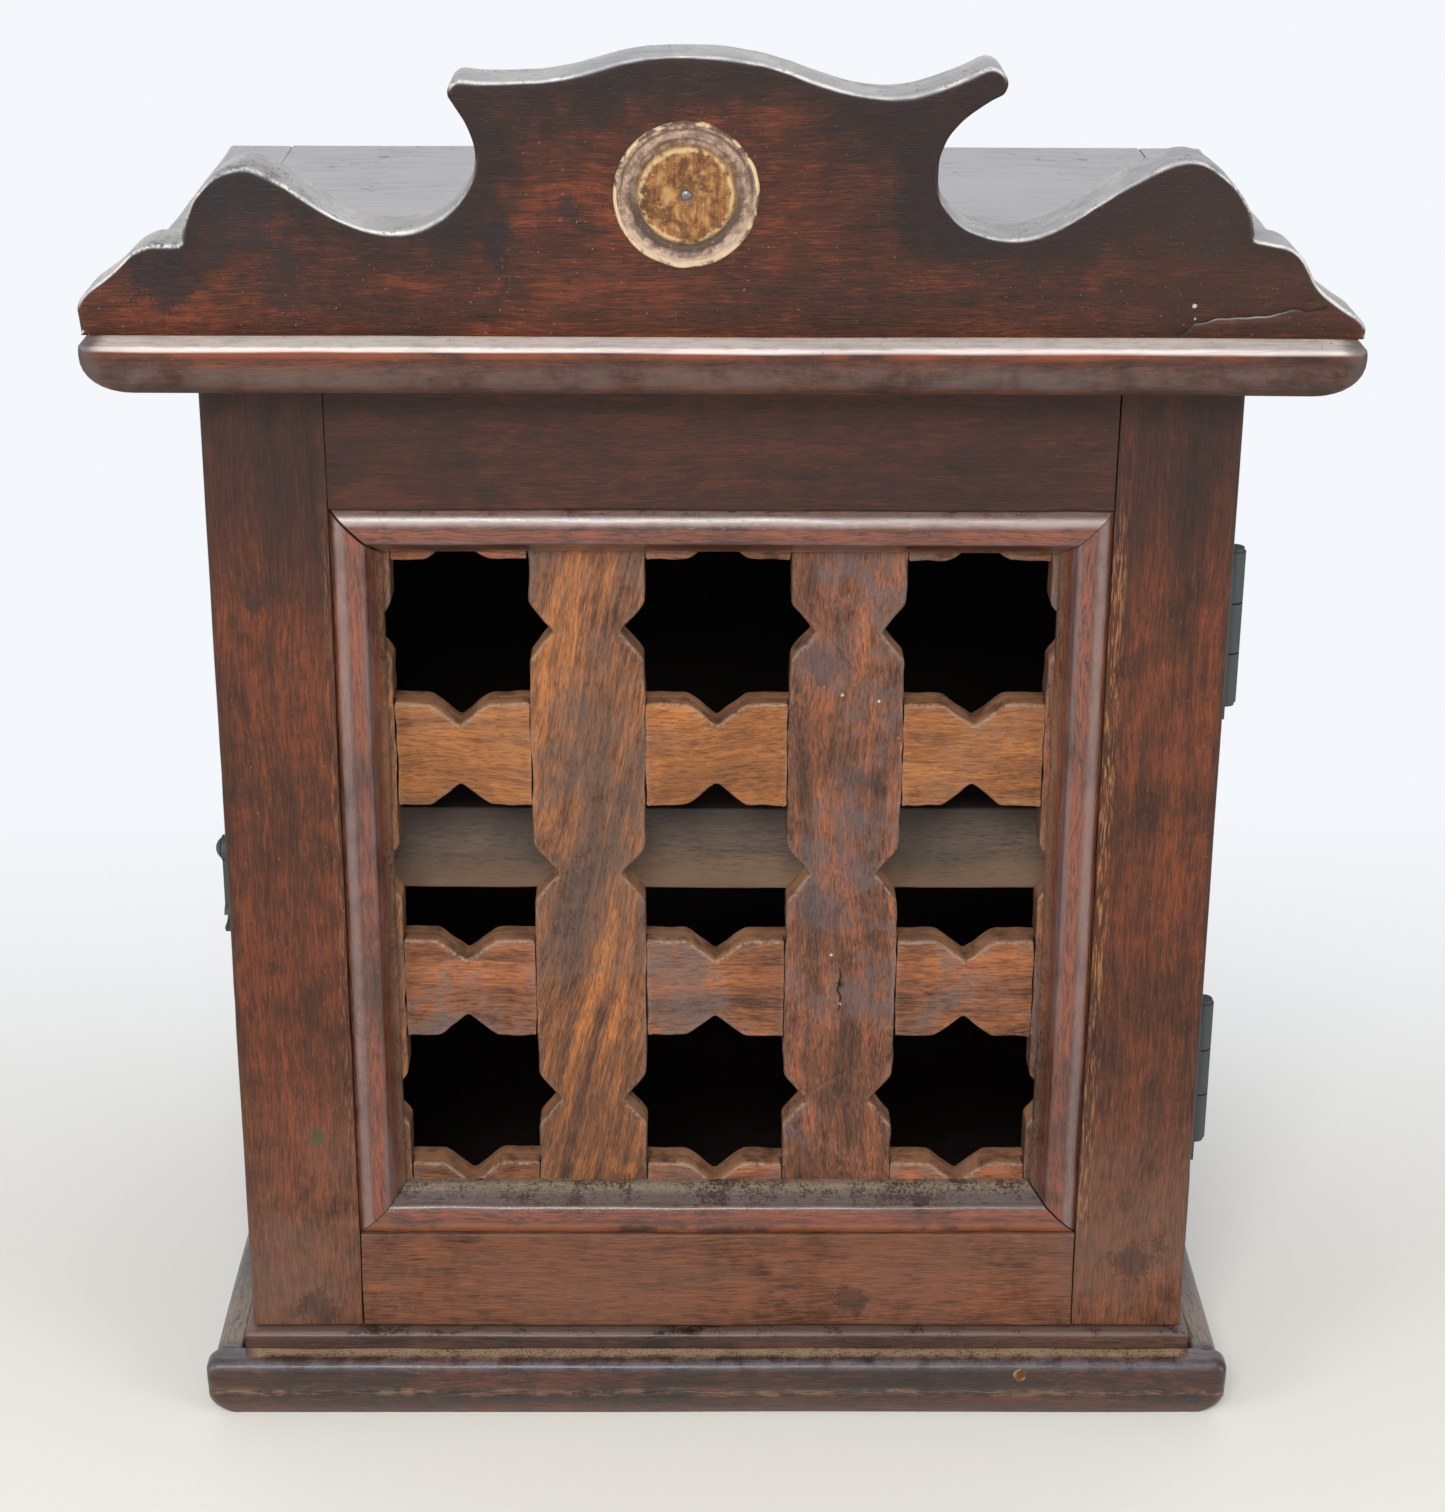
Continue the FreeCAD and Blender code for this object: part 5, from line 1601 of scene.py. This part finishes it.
@dataclass
class Crest(Joinery):
    """Scroll-sawn crest with its turned rosette."""

    front_round: float = 1.1
    back_round: float = 0.7
    recess: float = 15.6
    recess_depth: float = 2.6
    rosette_profile: tuple[tuple[float, float], ...] = (
        (0.05, 0.2), (1.2, 0.2), (1.9, 0.55), (2.8, 0.95), (4.5, 1.1), (7.0, 1.2), (8.9, 1.3),
        (9.8, 1.35), (10.3, 1.0), (10.7, 0.25), (11.3, -0.1), (11.9, 0.05), (12.5, 0.6),
        (13.3, 0.9), (14.0, 0.75), (14.5, 0.35), (14.8, 0.3), (15.2, 0.6), (15.7, 0.5),
        (16.0, 0.1), (15.9, -2.4))
    crack: tuple[tuple[float, float], ...] = (
        (243.8, 0.9), (247.3, 3.4), (253.8, 4.4), (261.8, 4.9), (268.8, 6.6), (275.8, 7.3))
    crack_depth: float = 0.25
    crack_width: float = 0.9
    nail_radius: float = 1.1

    def build(self) -> None:
        """Make the board from the outline of its construction node."""
        low, high = span("crest_board")
        outline = resampled(face_outline("crest_board"), 0.7, 0.35)
        ripple = 0.12 * Ripple(51, 12.0).at(outline) * (outline[:, 1] > low[2] + 1.0)
        outline = outline - outward(outline) * (np.abs(ripple) + 0.02)[:, None]
        foot = outline[:, 1] < low[2] + 0.5
        front = self.front_round * (1 + 0.25 * Ripple(52, 25.0).at(outline))
        rounding = np.where(foot, 0.15, front)
        x, z = self.rosette_centre()
        crack = Score(tuple((low[0] + right, low[2] + up) for right, up in self.crack),
                      self.crack_depth, self.crack_width)
        plate = Plate(outline, low[1], high[1], np.clip(rounding, 0.15, 1.6),
                      np.where(foot, 0.15, self.back_round), 1.9, (crack,),
                      ((x, z, self.recess, self.recess_depth),))
        self.add("crest_board", plate.build(), Finishes.CREST.build(Grain.ACROSS), crease=40.0)

    def rosette_centre(self) -> tuple[float, float]:
        """Return the axis of the rosette (x, z)."""
        low, high = span("rosette")
        return (low[0] + high[0]) / 2, (low[2] + high[2]) / 2

    def dress(self) -> None:
        """Turn the rosette: a worn rim, a bevel, a groove, and a raised disc dished by its nail.

        The profile (radius, height above the crest) is carried round the axis, and each point
        is lifted or sunk by a ripple that grows towards the rim.
        """
        centre = self.rosette_centre()
        profile = np.array(self.rosette_profile)
        rim = profile[-2, 0]
        way = np.linspace(0, len(profile) - 1, 84)
        radius, height = (np.interp(way, np.arange(len(profile)), part) for part in profile.T)
        angle = np.linspace(0, 2 * math.pi, 144, endpoint=False)
        ring, turn = np.meshgrid(radius, angle, indexing="ij")
        lift = np.broadcast_to(height[:, None], ring.shape)
        flat = np.stack([ring * np.cos(turn), ring * np.sin(turn)], axis=-1).reshape(-1, 2)
        fine, wide, edge = (Ripple(seed, length).at(flat).reshape(ring.shape)
                            for seed, length in ((61, 4.0), (62, 14.0), (63, 5.0)))
        share = ring / rim
        rough = (0.16 * fine * share + 0.12 * wide) * (lift > -0.5)
        wobble = 1 + 0.006 * edge * share ** 2
        crest_face = span("crest_board")[0][1]
        surface = turned(centre, ring * wobble, crest_face - lift - rough, turn)
        finish = TurnedWood("rosette_wood", centre, rim, 0.85).build(Grain.UPRIGHT)
        self.add("rosette", surface, finish, "pale_wood", 60.0)
        self.nail(centre, crest_face)

    def nail(self, centre: tuple[float, float], crest_face: float) -> None:
        """Drive the nail that holds the rosette: a low dome, sunk in the dish at its middle."""
        share, angle = rings(0.03, 9, 28)
        away = self.nail_radius * share * (1 + 0.05 * np.sin(3 * angle + 1.0))
        drop = 0.55 + 0.35 * (1 - share ** 2) - 1.5 * (share > 0.99)
        surface = turned(centre, away, crest_face - drop, angle)
        self.add("rosette_nail", surface, Finishes.STEEL.build(), "nail_steel")


@dataclass
class DoorFrame(Joinery):
    """Stiles, rails and the mitred mouldings planted inside them."""

    body: str = "door"
    moulding_width: float = 11.5
    recess: float = 8.0
    joint: float = 0.10

    def build(self) -> None:
        """Make the stiles and rails."""
        stile, rail = Finishes.FRAME.build(Grain.UPRIGHT), Finishes.FRAME.build(Grain.ACROSS)
        eased_side, tight = soft(0.9), soft(0.12)
        left, right = (0.15, 1.0, 1.0, 0.15), (1.0, 0.15, 0.15, 1.0)
        free = (eased_side, eased_side)
        self.add_board("stile_left", stile, Sides(eased_side, tight, *free), left, step=4.0)
        self.add_board("stile_right", stile, Sides(tight, eased_side, *free), right, step=4.0)
        for node in ("rail_top", "rail_bottom"):
            low, high = span(node)
            inner = span("stile_left")[1][0]
            low[0], high[0] = inner + self.joint, -inner - self.joint
            surface = board(low, high, Sides(tight, tight, *free), 0.12, 4.0)
            surface = self.hand.rubbed(surface, low, high, 71 + len(node))
            self.add(node, surface, rail)

    def section(self) -> tuple[Array, Array]:
        """Return the moulding's section, across from its outer edge and back from the door face."""
        width, deep = self.moulding_width, self.recess
        slope = arc((0.0, 1.1), (1.6, -0.2), (3.7, -0.86), 12)
        crown = arc((3.7, -0.86), (5.6, -0.88), (7.3, -0.42), 10)
        shoulder = arc((7.3, -0.42), (8.0, 0.05), (8.4, 0.75), 10)
        cheek = arc((8.4, 0.75), (10.2, 3.5), (width, 5.8), 12)
        back = [(width, 6.9), (width, deep), (6.0, deep), (0.0, deep), (0.0, 4.0)]
        points = np.vstack([slope, crown[1:], shoulder[1:], cheek[1:], back])
        return points[:, 0], points[:, 1]

    def moulding(self, turn: Callable[[Array, Array], tuple[Array, Array]], half: float,
                 gaps: tuple[float, float]) -> Surface:
        """Return one mitred moulding: its section at each station along it.

        A point across by a lies between the mitres, so station t of -1 to 1 is at
        t (half - a) less the gap at that end.

        Args:
            turn: Places (along, across) on the face of the door as (x, z).
            half: Half the length of the outer edge.
            gaps: Open joint at the start and at the end.
        """
        across, depth = self.section()
        station = eased(-1, 1, 2 * 3.0 / (2 * half))
        reach = half - across
        along = station[:, None] * reach[None]
        along = along + np.where(station < 0, gaps[0], -gaps[1])[:, None] * np.abs(station)[:, None]
        wide = np.broadcast_to(across[None], along.shape)
        x, z = turn(along, wide)
        y = span("stile_left")[0][1] + np.broadcast_to(depth[None], along.shape)
        points = np.stack([x, y, z], axis=-1).reshape(-1, 3)
        bumps = 0.14 * Ripple(81, 22.0).at(points) * (np.tile(depth, len(station)) < 4.0)
        points[:, 1] += bumps
        count = len(across)
        faces = grid_faces(len(station), count, True)
        faces += [tuple(range(count)), tuple(range(len(points) - count, len(points)))]
        return Surface(points, faces, np.tile(across, len(station)))

    def dress(self) -> None:
        """Plant the four mouldings round the opening."""
        inner = span("moulding_left")[0][0]
        low, high = span("moulding_bottom")[0][2], span("moulding_top")[1][2]
        middle, half_z = (low + high) / 2, (high - low) / 2
        across = Finishes.MOULDING.build(Grain.ACROSS)
        upright = Finishes.MOULDING.build(Grain.UPRIGHT)
        bars = {
            "moulding_top": (lambda s, a: (s, high - a), -inner, (0.45, 0.12), across),
            "moulding_bottom": (lambda s, a: (s, low + a), -inner, (0.15, 0.35), across),
            "moulding_left": (lambda s, a: (inner + a, middle + s), half_z, (0.15, 0.45), upright),
            "moulding_right": (lambda s, a: (-inner - a, middle + s), half_z, (0.35, 0.12),
                               upright),
        }
        for node, (turn, half, gaps, finish) in bars.items():
            self.add(node, self.moulding(turn, half, gaps), finish, crease=42.0)


@dataclass
class Lattice(Joinery):
    """Half-lapped slats whose notched edges leave eight-pointed windows."""

    UPRIGHTS = ("edge_left", "slat_left", "slat_right", "edge_right")
    LEVELS = ("edge_bottom", "slat_lower", "slat_upper", "edge_top")

    body: str = "door"
    slot: str = "lattice_wood"
    notch_half: float = 7.0
    notch_depth: float = 5.8
    arris: float = 0.8
    seam: float = 0.22
    gap: float = 0.12
    cut: float = 0.20
    step_back: float = 0.1
    splits: tuple[tuple[tuple[tuple[float, float], ...], float, float], ...] = (
        (((13.6, 59.5), (14.0, 62.5), (13.2, 65.0), (13.9, 68.5), (13.4, 71.5)), 0.7, 0.8),
        (((1.5, 34.5), (6.0, 36.0), (12.0, 40.0), (19.0, 44.5)), 0.3, 0.9),
        (((4.0, 165.0), (9.0, 158.0), (15.0, 149.5), (23.0, 141.0)), 0.3, 0.7))

    def windows(self) -> tuple[list[float], list[float]]:
        """Return the middles of the windows across and up."""
        left, right = span("lattice_slat_left"), span("lattice_slat_right")
        lower, upper = span("lattice_slat_lower"), span("lattice_slat_upper")
        xs = [(left[0][0] + left[1][0]) / 2, (right[0][0] + right[1][0]) / 2]
        zs = [(lower[0][2] + lower[1][2]) / 2, (upper[0][2] + upper[1][2]) / 2]
        pitch_x, pitch_z = xs[1] - xs[0], zs[1] - zs[0]
        return ([xs[0] - pitch_x / 2 + pitch_x * n for n in range(3)],
                [zs[0] - pitch_z / 2 + pitch_z * n for n in range(3)])

    def notched(self, fixed: float, start: float, end: float, centres: list[float],
                inward: float) -> list[tuple[float, float]]:
        """Return one long side of a slat as (along, across) corners with its V notches."""
        corners = [(start, fixed)]
        way = 1 if end > start else -1
        low, high = min(start, end), max(start, end)
        for centre in sorted((c for c in centres if low < c < high), reverse=way < 0):
            for offset, depth in ((-self.notch_half - 0.8, 0.0), (-self.notch_half, 0.15),
                                  (-self.notch_half + 1.6, 1.3), (0.0, self.notch_depth),
                                  (self.notch_half - 1.6, 1.3), (self.notch_half, 0.15),
                                  (self.notch_half + 0.8, 0.0)):
                corners.append((centre + way * offset, fixed + inward * depth))
        return corners + [(end, fixed)]

    def outline(self, low: tuple[float, float], high: tuple[float, float], centres: list[float],
                sides: tuple[bool, bool], upright: bool, seed: int) -> Array:
        """Return the cut outline of a slat or a stretch of one.

        Args:
            low: Start along it and across it.
            high: End along it and across it.
            centres: Middles of the notches along it.
            sides: Whether its low and high sides are notched.
            upright: Whether it stands up rather than lies across.
            seed: Start of the random series.
        """
        near = self.notched(low[1], low[0], high[0], centres if sides[0] else [], 1)
        far = self.notched(high[1], high[0], low[0], centres if sides[1] else [], -1)
        corners = np.array(near + far)
        points = corners[:, ::-1] if upright else corners
        x, z = points.T
        if (x * np.roll(z, -1) - np.roll(x, -1) * z).sum() < 0:
            points = points[::-1]
        smooth = resampled(points, 0.6, 0.55)
        shake = 0.6 * Ripple(seed, 8.0).at(smooth) + 0.5 * Ripple(seed + 1, 26.0).at(smooth)
        return smooth + outward(smooth) * (self.cut * shake - 0.05)[:, None]

    def slat(self, node: str, upright: bool, crossing: list[tuple[float, float]],
             centres: list[float], sides: tuple[bool, bool], seed: int,
             scores: tuple[Score, ...] = ()) -> Surface:
        """Return a slat: one half of its thickness runs through, the other stops at each lap.

        Args:
            node: Its construction node.
            upright: Whether it stands up; an upright runs through in front.
            crossing: Spans, along it, of the slats that cross it.
            centres: Middles of its notches along it.
            sides: Whether its low and high sides are notched.
            seed: Start of the random series.
            scores: Cracks in its face.
        """
        low, high = span(node)
        axis, across = (2, 0) if upright else (0, 2)
        whole = self.outline((low[axis], low[across]), (high[axis], high[across]), centres, sides,
                             upright, seed)
        along = whole[:, 1] if upright else whole[:, 0]
        arris = np.full(len(whole), self.arris)
        for start, end in crossing if upright else ():
            arris = np.where((along > start + 0.5) & (along < end - 0.5), self.seam, arris)
        surface = self.half(node, whole, arris, upright, scores=scores)
        for number, ((_, start), (end, _)) in enumerate(zip(crossing[:-1], crossing[1:])):
            part = self.outline((start + self.gap, low[across]), (end - self.gap, high[across]),
                                centres, sides, upright, seed)
            ends = part[:, 1] if upright else part[:, 0]
            rounding = np.where((ends < start + 0.8) | (ends > end - 0.8), self.seam, self.arris)
            step_back = self.step_back * (number % 2)
            surface = surface.joined(self.half(node, part, rounding, not upright, step_back))
        return surface

    def half(self, node: str, outline: Array, rounding: Array, lead: bool, step_back: float = 0.0,
             scores: tuple[Score, ...] = ()) -> Surface:
        """Return the front or the back half of a slat's thickness.

        Args:
            node: Its construction node.
            outline: Its outline.
            rounding: Radius of its arris at each point.
            lead: Whether it is the front half.
            step_back: How far a front half stands behind the face.
            scores: Cracks in its face.
        """
        front, back = (corner[1] for corner in span(node))
        lap = (front + back) / 2
        if lead:
            return Plate(outline, front + step_back, lap, rounding, SEAM_ROUND, 2.0, scores,
                         arrises=(True, False)).build()
        return Plate(outline, lap, back, SEAM_ROUND, rounding * 0.8, 2.4,
                     arrises=(False, True)).build()

    def cracks(self) -> tuple[Score, ...]:
        """Return the split and the long scratch in the right upright, placed from its corner."""
        low = span("lattice_slat_right")[0]
        return tuple(Score(tuple((low[0] + x, low[2] + z) for x, z in line), depth, width)
                     for line, depth, width in self.splits)

    def lay(self, upright: bool, names: tuple[str, ...], woods: tuple[SlatWood, ...],
            others: tuple[str, ...], seed: int) -> None:
        """Make the four slats that run one way; the outer two are notched on one side only.

        Args:
            upright: Whether they stand up.
            names: Their names, in order.
            woods: Their finishes.
            others: Names of the slats that cross them.
            seed: Start of the random series.
        """
        axis = 2 if upright else 0
        bars = [span(f"lattice_{name}") for name in others]
        crossing = [(low[axis], high[axis]) for low, high in bars]
        centres = self.windows()[axis // 2]
        for number, (name, wood) in enumerate(zip(names, woods)):
            node = f"lattice_{name}"
            scores = self.cracks() if name == "slat_right" else ()
            sides = (number > 0, number < len(names) - 1)
            surface = self.slat(node, upright, crossing, centres, sides, seed + number * 10, scores)
            self.add(node, surface, wood.build(Grain.UPRIGHT if upright else Grain.ACROSS),
                     crease=42.0)

    def build(self) -> None:
        """Make the four uprights."""
        left, right = Finishes.SLAT_LEFT, Finishes.SLAT_RIGHT
        self.lay(True, self.UPRIGHTS, (left, left, right, right), self.LEVELS, 100)

    def dress(self) -> None:
        """Fit the slats that cross them."""
        lower, upper = Finishes.SLAT_LOWER, Finishes.SLAT_UPPER
        self.lay(False, self.LEVELS, (lower, lower, upper, lower), self.UPRIGHTS, 200)


@dataclass
class Ironwork:
    """Hinges, latch, key hooks, nails and screws, which keep their construction shapes."""

    metals: dict[str, Metal] = field(default_factory=lambda: {
        "hinge_leaf": Finishes.IRON, "hinge_pin": Finishes.IRON, "latch": Finishes.IRON,
        "hinge_screws": Finishes.STEEL, "nails": Finishes.STEEL,
        "key_hooks": Finishes.BRASS})

    def build(self) -> None:
        """Make one material for each metal."""
        self.made = {metal.name: metal.build() for metal in set(self.metals.values())}

    def dress(self) -> None:
        """Give each metal node its finish."""
        for name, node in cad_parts.items():
            for key, metal in self.metals.items():
                if key in name:
                    node.data.materials.clear()
                    node.data.materials.append(self.made[metal.name])
                    LOG.info("%s: %s", name, metal.name)
                    break


# ---- Studio ----
@dataclass
class Studio:
    """Pale sweep, soft lamps and the camera."""

    lens: float = 3052.9 / 1512 * 36.0
    camera_place: tuple[float, float, float] = (-0.0066, -0.7723, 0.4478)
    pitch: float = 21.69
    yaw: float = 0.6
    roll: float = 0.32
    floor_colour: Colour = paint(236, 234, 228)
    sky_colour: Colour = paint(244, 247, 251)
    world_strength: float = 0.54

    def build(self) -> None:
        """Lay the sweep: a flat floor that curves up into a backdrop, carried along X."""
        turn = np.linspace(0, math.pi / 2, 16)
        y = np.concatenate([np.linspace(-2.5, 1.6, 22), 1.6 + 0.9 * np.sin(turn)[1:], [2.5, 2.5]])
        z = np.concatenate([np.zeros(22), 0.9 * (1 - np.cos(turn))[1:], [1.8, 3.2]])
        x = np.linspace(-3.0, 3.0, 25)
        points = np.stack([np.repeat(x, len(y)), np.tile(y, len(x)), np.tile(z, len(x))], axis=1)
        mesh = bpy.data.meshes.new("sweep")
        mesh.from_pydata(points.tolist(), [], grid_faces(len(x), len(y), False))
        mesh.flip_normals()
        mesh.shade_smooth()
        mesh.materials.append(self.sweep_finish())
        sweep = bpy.data.objects.new("sweep", mesh)
        bpy.context.scene.collection.objects.link(sweep)

    def sweep_finish(self) -> bpy.types.Material:
        """Return a matt pale finish that turns into an even backdrop towards the back."""
        g = Graph("sweep_finish")
        place = g.place()
        matt = g.node("ShaderNodeBsdfDiffuse", {}, {"Color": self.floor_colour})
        glow = g.node("ShaderNodeEmission", {}, {"Color": self.sky_colour, "Strength": 1.0})
        rays = [g.node("ShaderNodeLightPath", output=name)
                for name in ("Is Camera Ray", "Is Glossy Ray", "Is Transmission Ray")]
        seen = rays[0].largest(rays[1]).largest(rays[2])
        back = g.axes(place)[1].fade(-110.0, 330.0)
        g.node_output(g.node("ShaderNodeMixShader", {}, {0: seen * back, 1: matt, 2: glow}))
        return g.material

    def lamp(self, name: str, place: tuple[float, float, float], size: tuple[float, float],
             power: float, colour: tuple[float, float, float] = (1.0, 1.0, 1.0)) -> None:
        """Hang a soft box that faces the middle of the cabinet."""
        light = bpy.data.lights.new(name, "AREA")
        light.shape = "RECTANGLE"
        light.size, light.size_y = size
        light.energy = power
        light.color = colour
        made = bpy.data.objects.new(name, light)
        made.location = place
        aim = Vector((0.0, 0.0, 0.16)) - Vector(place)
        made.rotation_euler = aim.to_track_quat("-Z", "Y").to_euler()
        made.visible_camera = False
        bpy.context.scene.collection.objects.link(made)

    def dress(self) -> None:
        """Set the lamps, the world and the camera."""
        self.lamp("key", (-0.12, -1.15, 0.88), (0.5, 0.32), 10.5, (1.0, 0.985, 0.965))
        self.lamp("left", (-1.15, -0.95, 0.45), (0.5, 0.9), 7.0, (0.95, 0.975, 1.0))
        self.lamp("right", (1.15, -0.95, 0.45), (0.5, 0.9), 7.0, (0.95, 0.975, 1.0))
        self.lamp("back", (0.0, 1.3, 1.1), (2.0, 0.8), 4.0, (0.98, 0.99, 1.0))
        world = bpy.data.worlds.new("studio")
        world.use_nodes = True
        back = world.node_tree.nodes["Background"]
        back.inputs["Color"].default_value = (0.96, 0.98, 1.0, 1.0)
        back.inputs["Strength"].default_value = self.world_strength
        bpy.context.scene.world = world
        bpy.context.scene.view_settings.view_transform = "Standard"
        self.camera()

    def camera(self) -> None:
        """Place the camera: pitched down, turned a little, and rolled a little."""
        pitch, yaw, roll = (math.radians(angle) for angle in (self.pitch, self.yaw, self.roll))
        ahead = Vector((math.sin(yaw) * math.cos(pitch), math.cos(yaw) * math.cos(pitch),
                        -math.sin(pitch)))
        right = Vector((math.cos(yaw), -math.sin(yaw), 0.0))
        upward = right.cross(ahead)
        level = right * math.cos(roll) + upward * math.sin(roll)
        upright = upward * math.cos(roll) - right * math.sin(roll)
        data = bpy.data.cameras.new("camera")
        data.sensor_fit = "VERTICAL"
        data.sensor_height = 36.0
        data.lens = self.lens
        data.clip_start = 0.01
        made = bpy.data.objects.new("camera", data)
        turned = Matrix((level, upright, -ahead)).transposed().to_4x4()
        turned.translation = Vector(self.camera_place)
        made.matrix_world = turned
        bpy.context.scene.collection.objects.link(made)
        bpy.context.scene.camera = made


def main() -> None:
    """Build every sub-assembly in order, then the studio."""
    logging.basicConfig(level=logging.INFO, format="%(message)s")
    for part in (Base(), Case(), Cornice(), Crest(), DoorFrame(), Lattice(), Ironwork(), Studio()):
        part.build()
        part.dress()
        LOG.info("%s done", type(part).__name__)


if __name__ == "__main__":
    main()
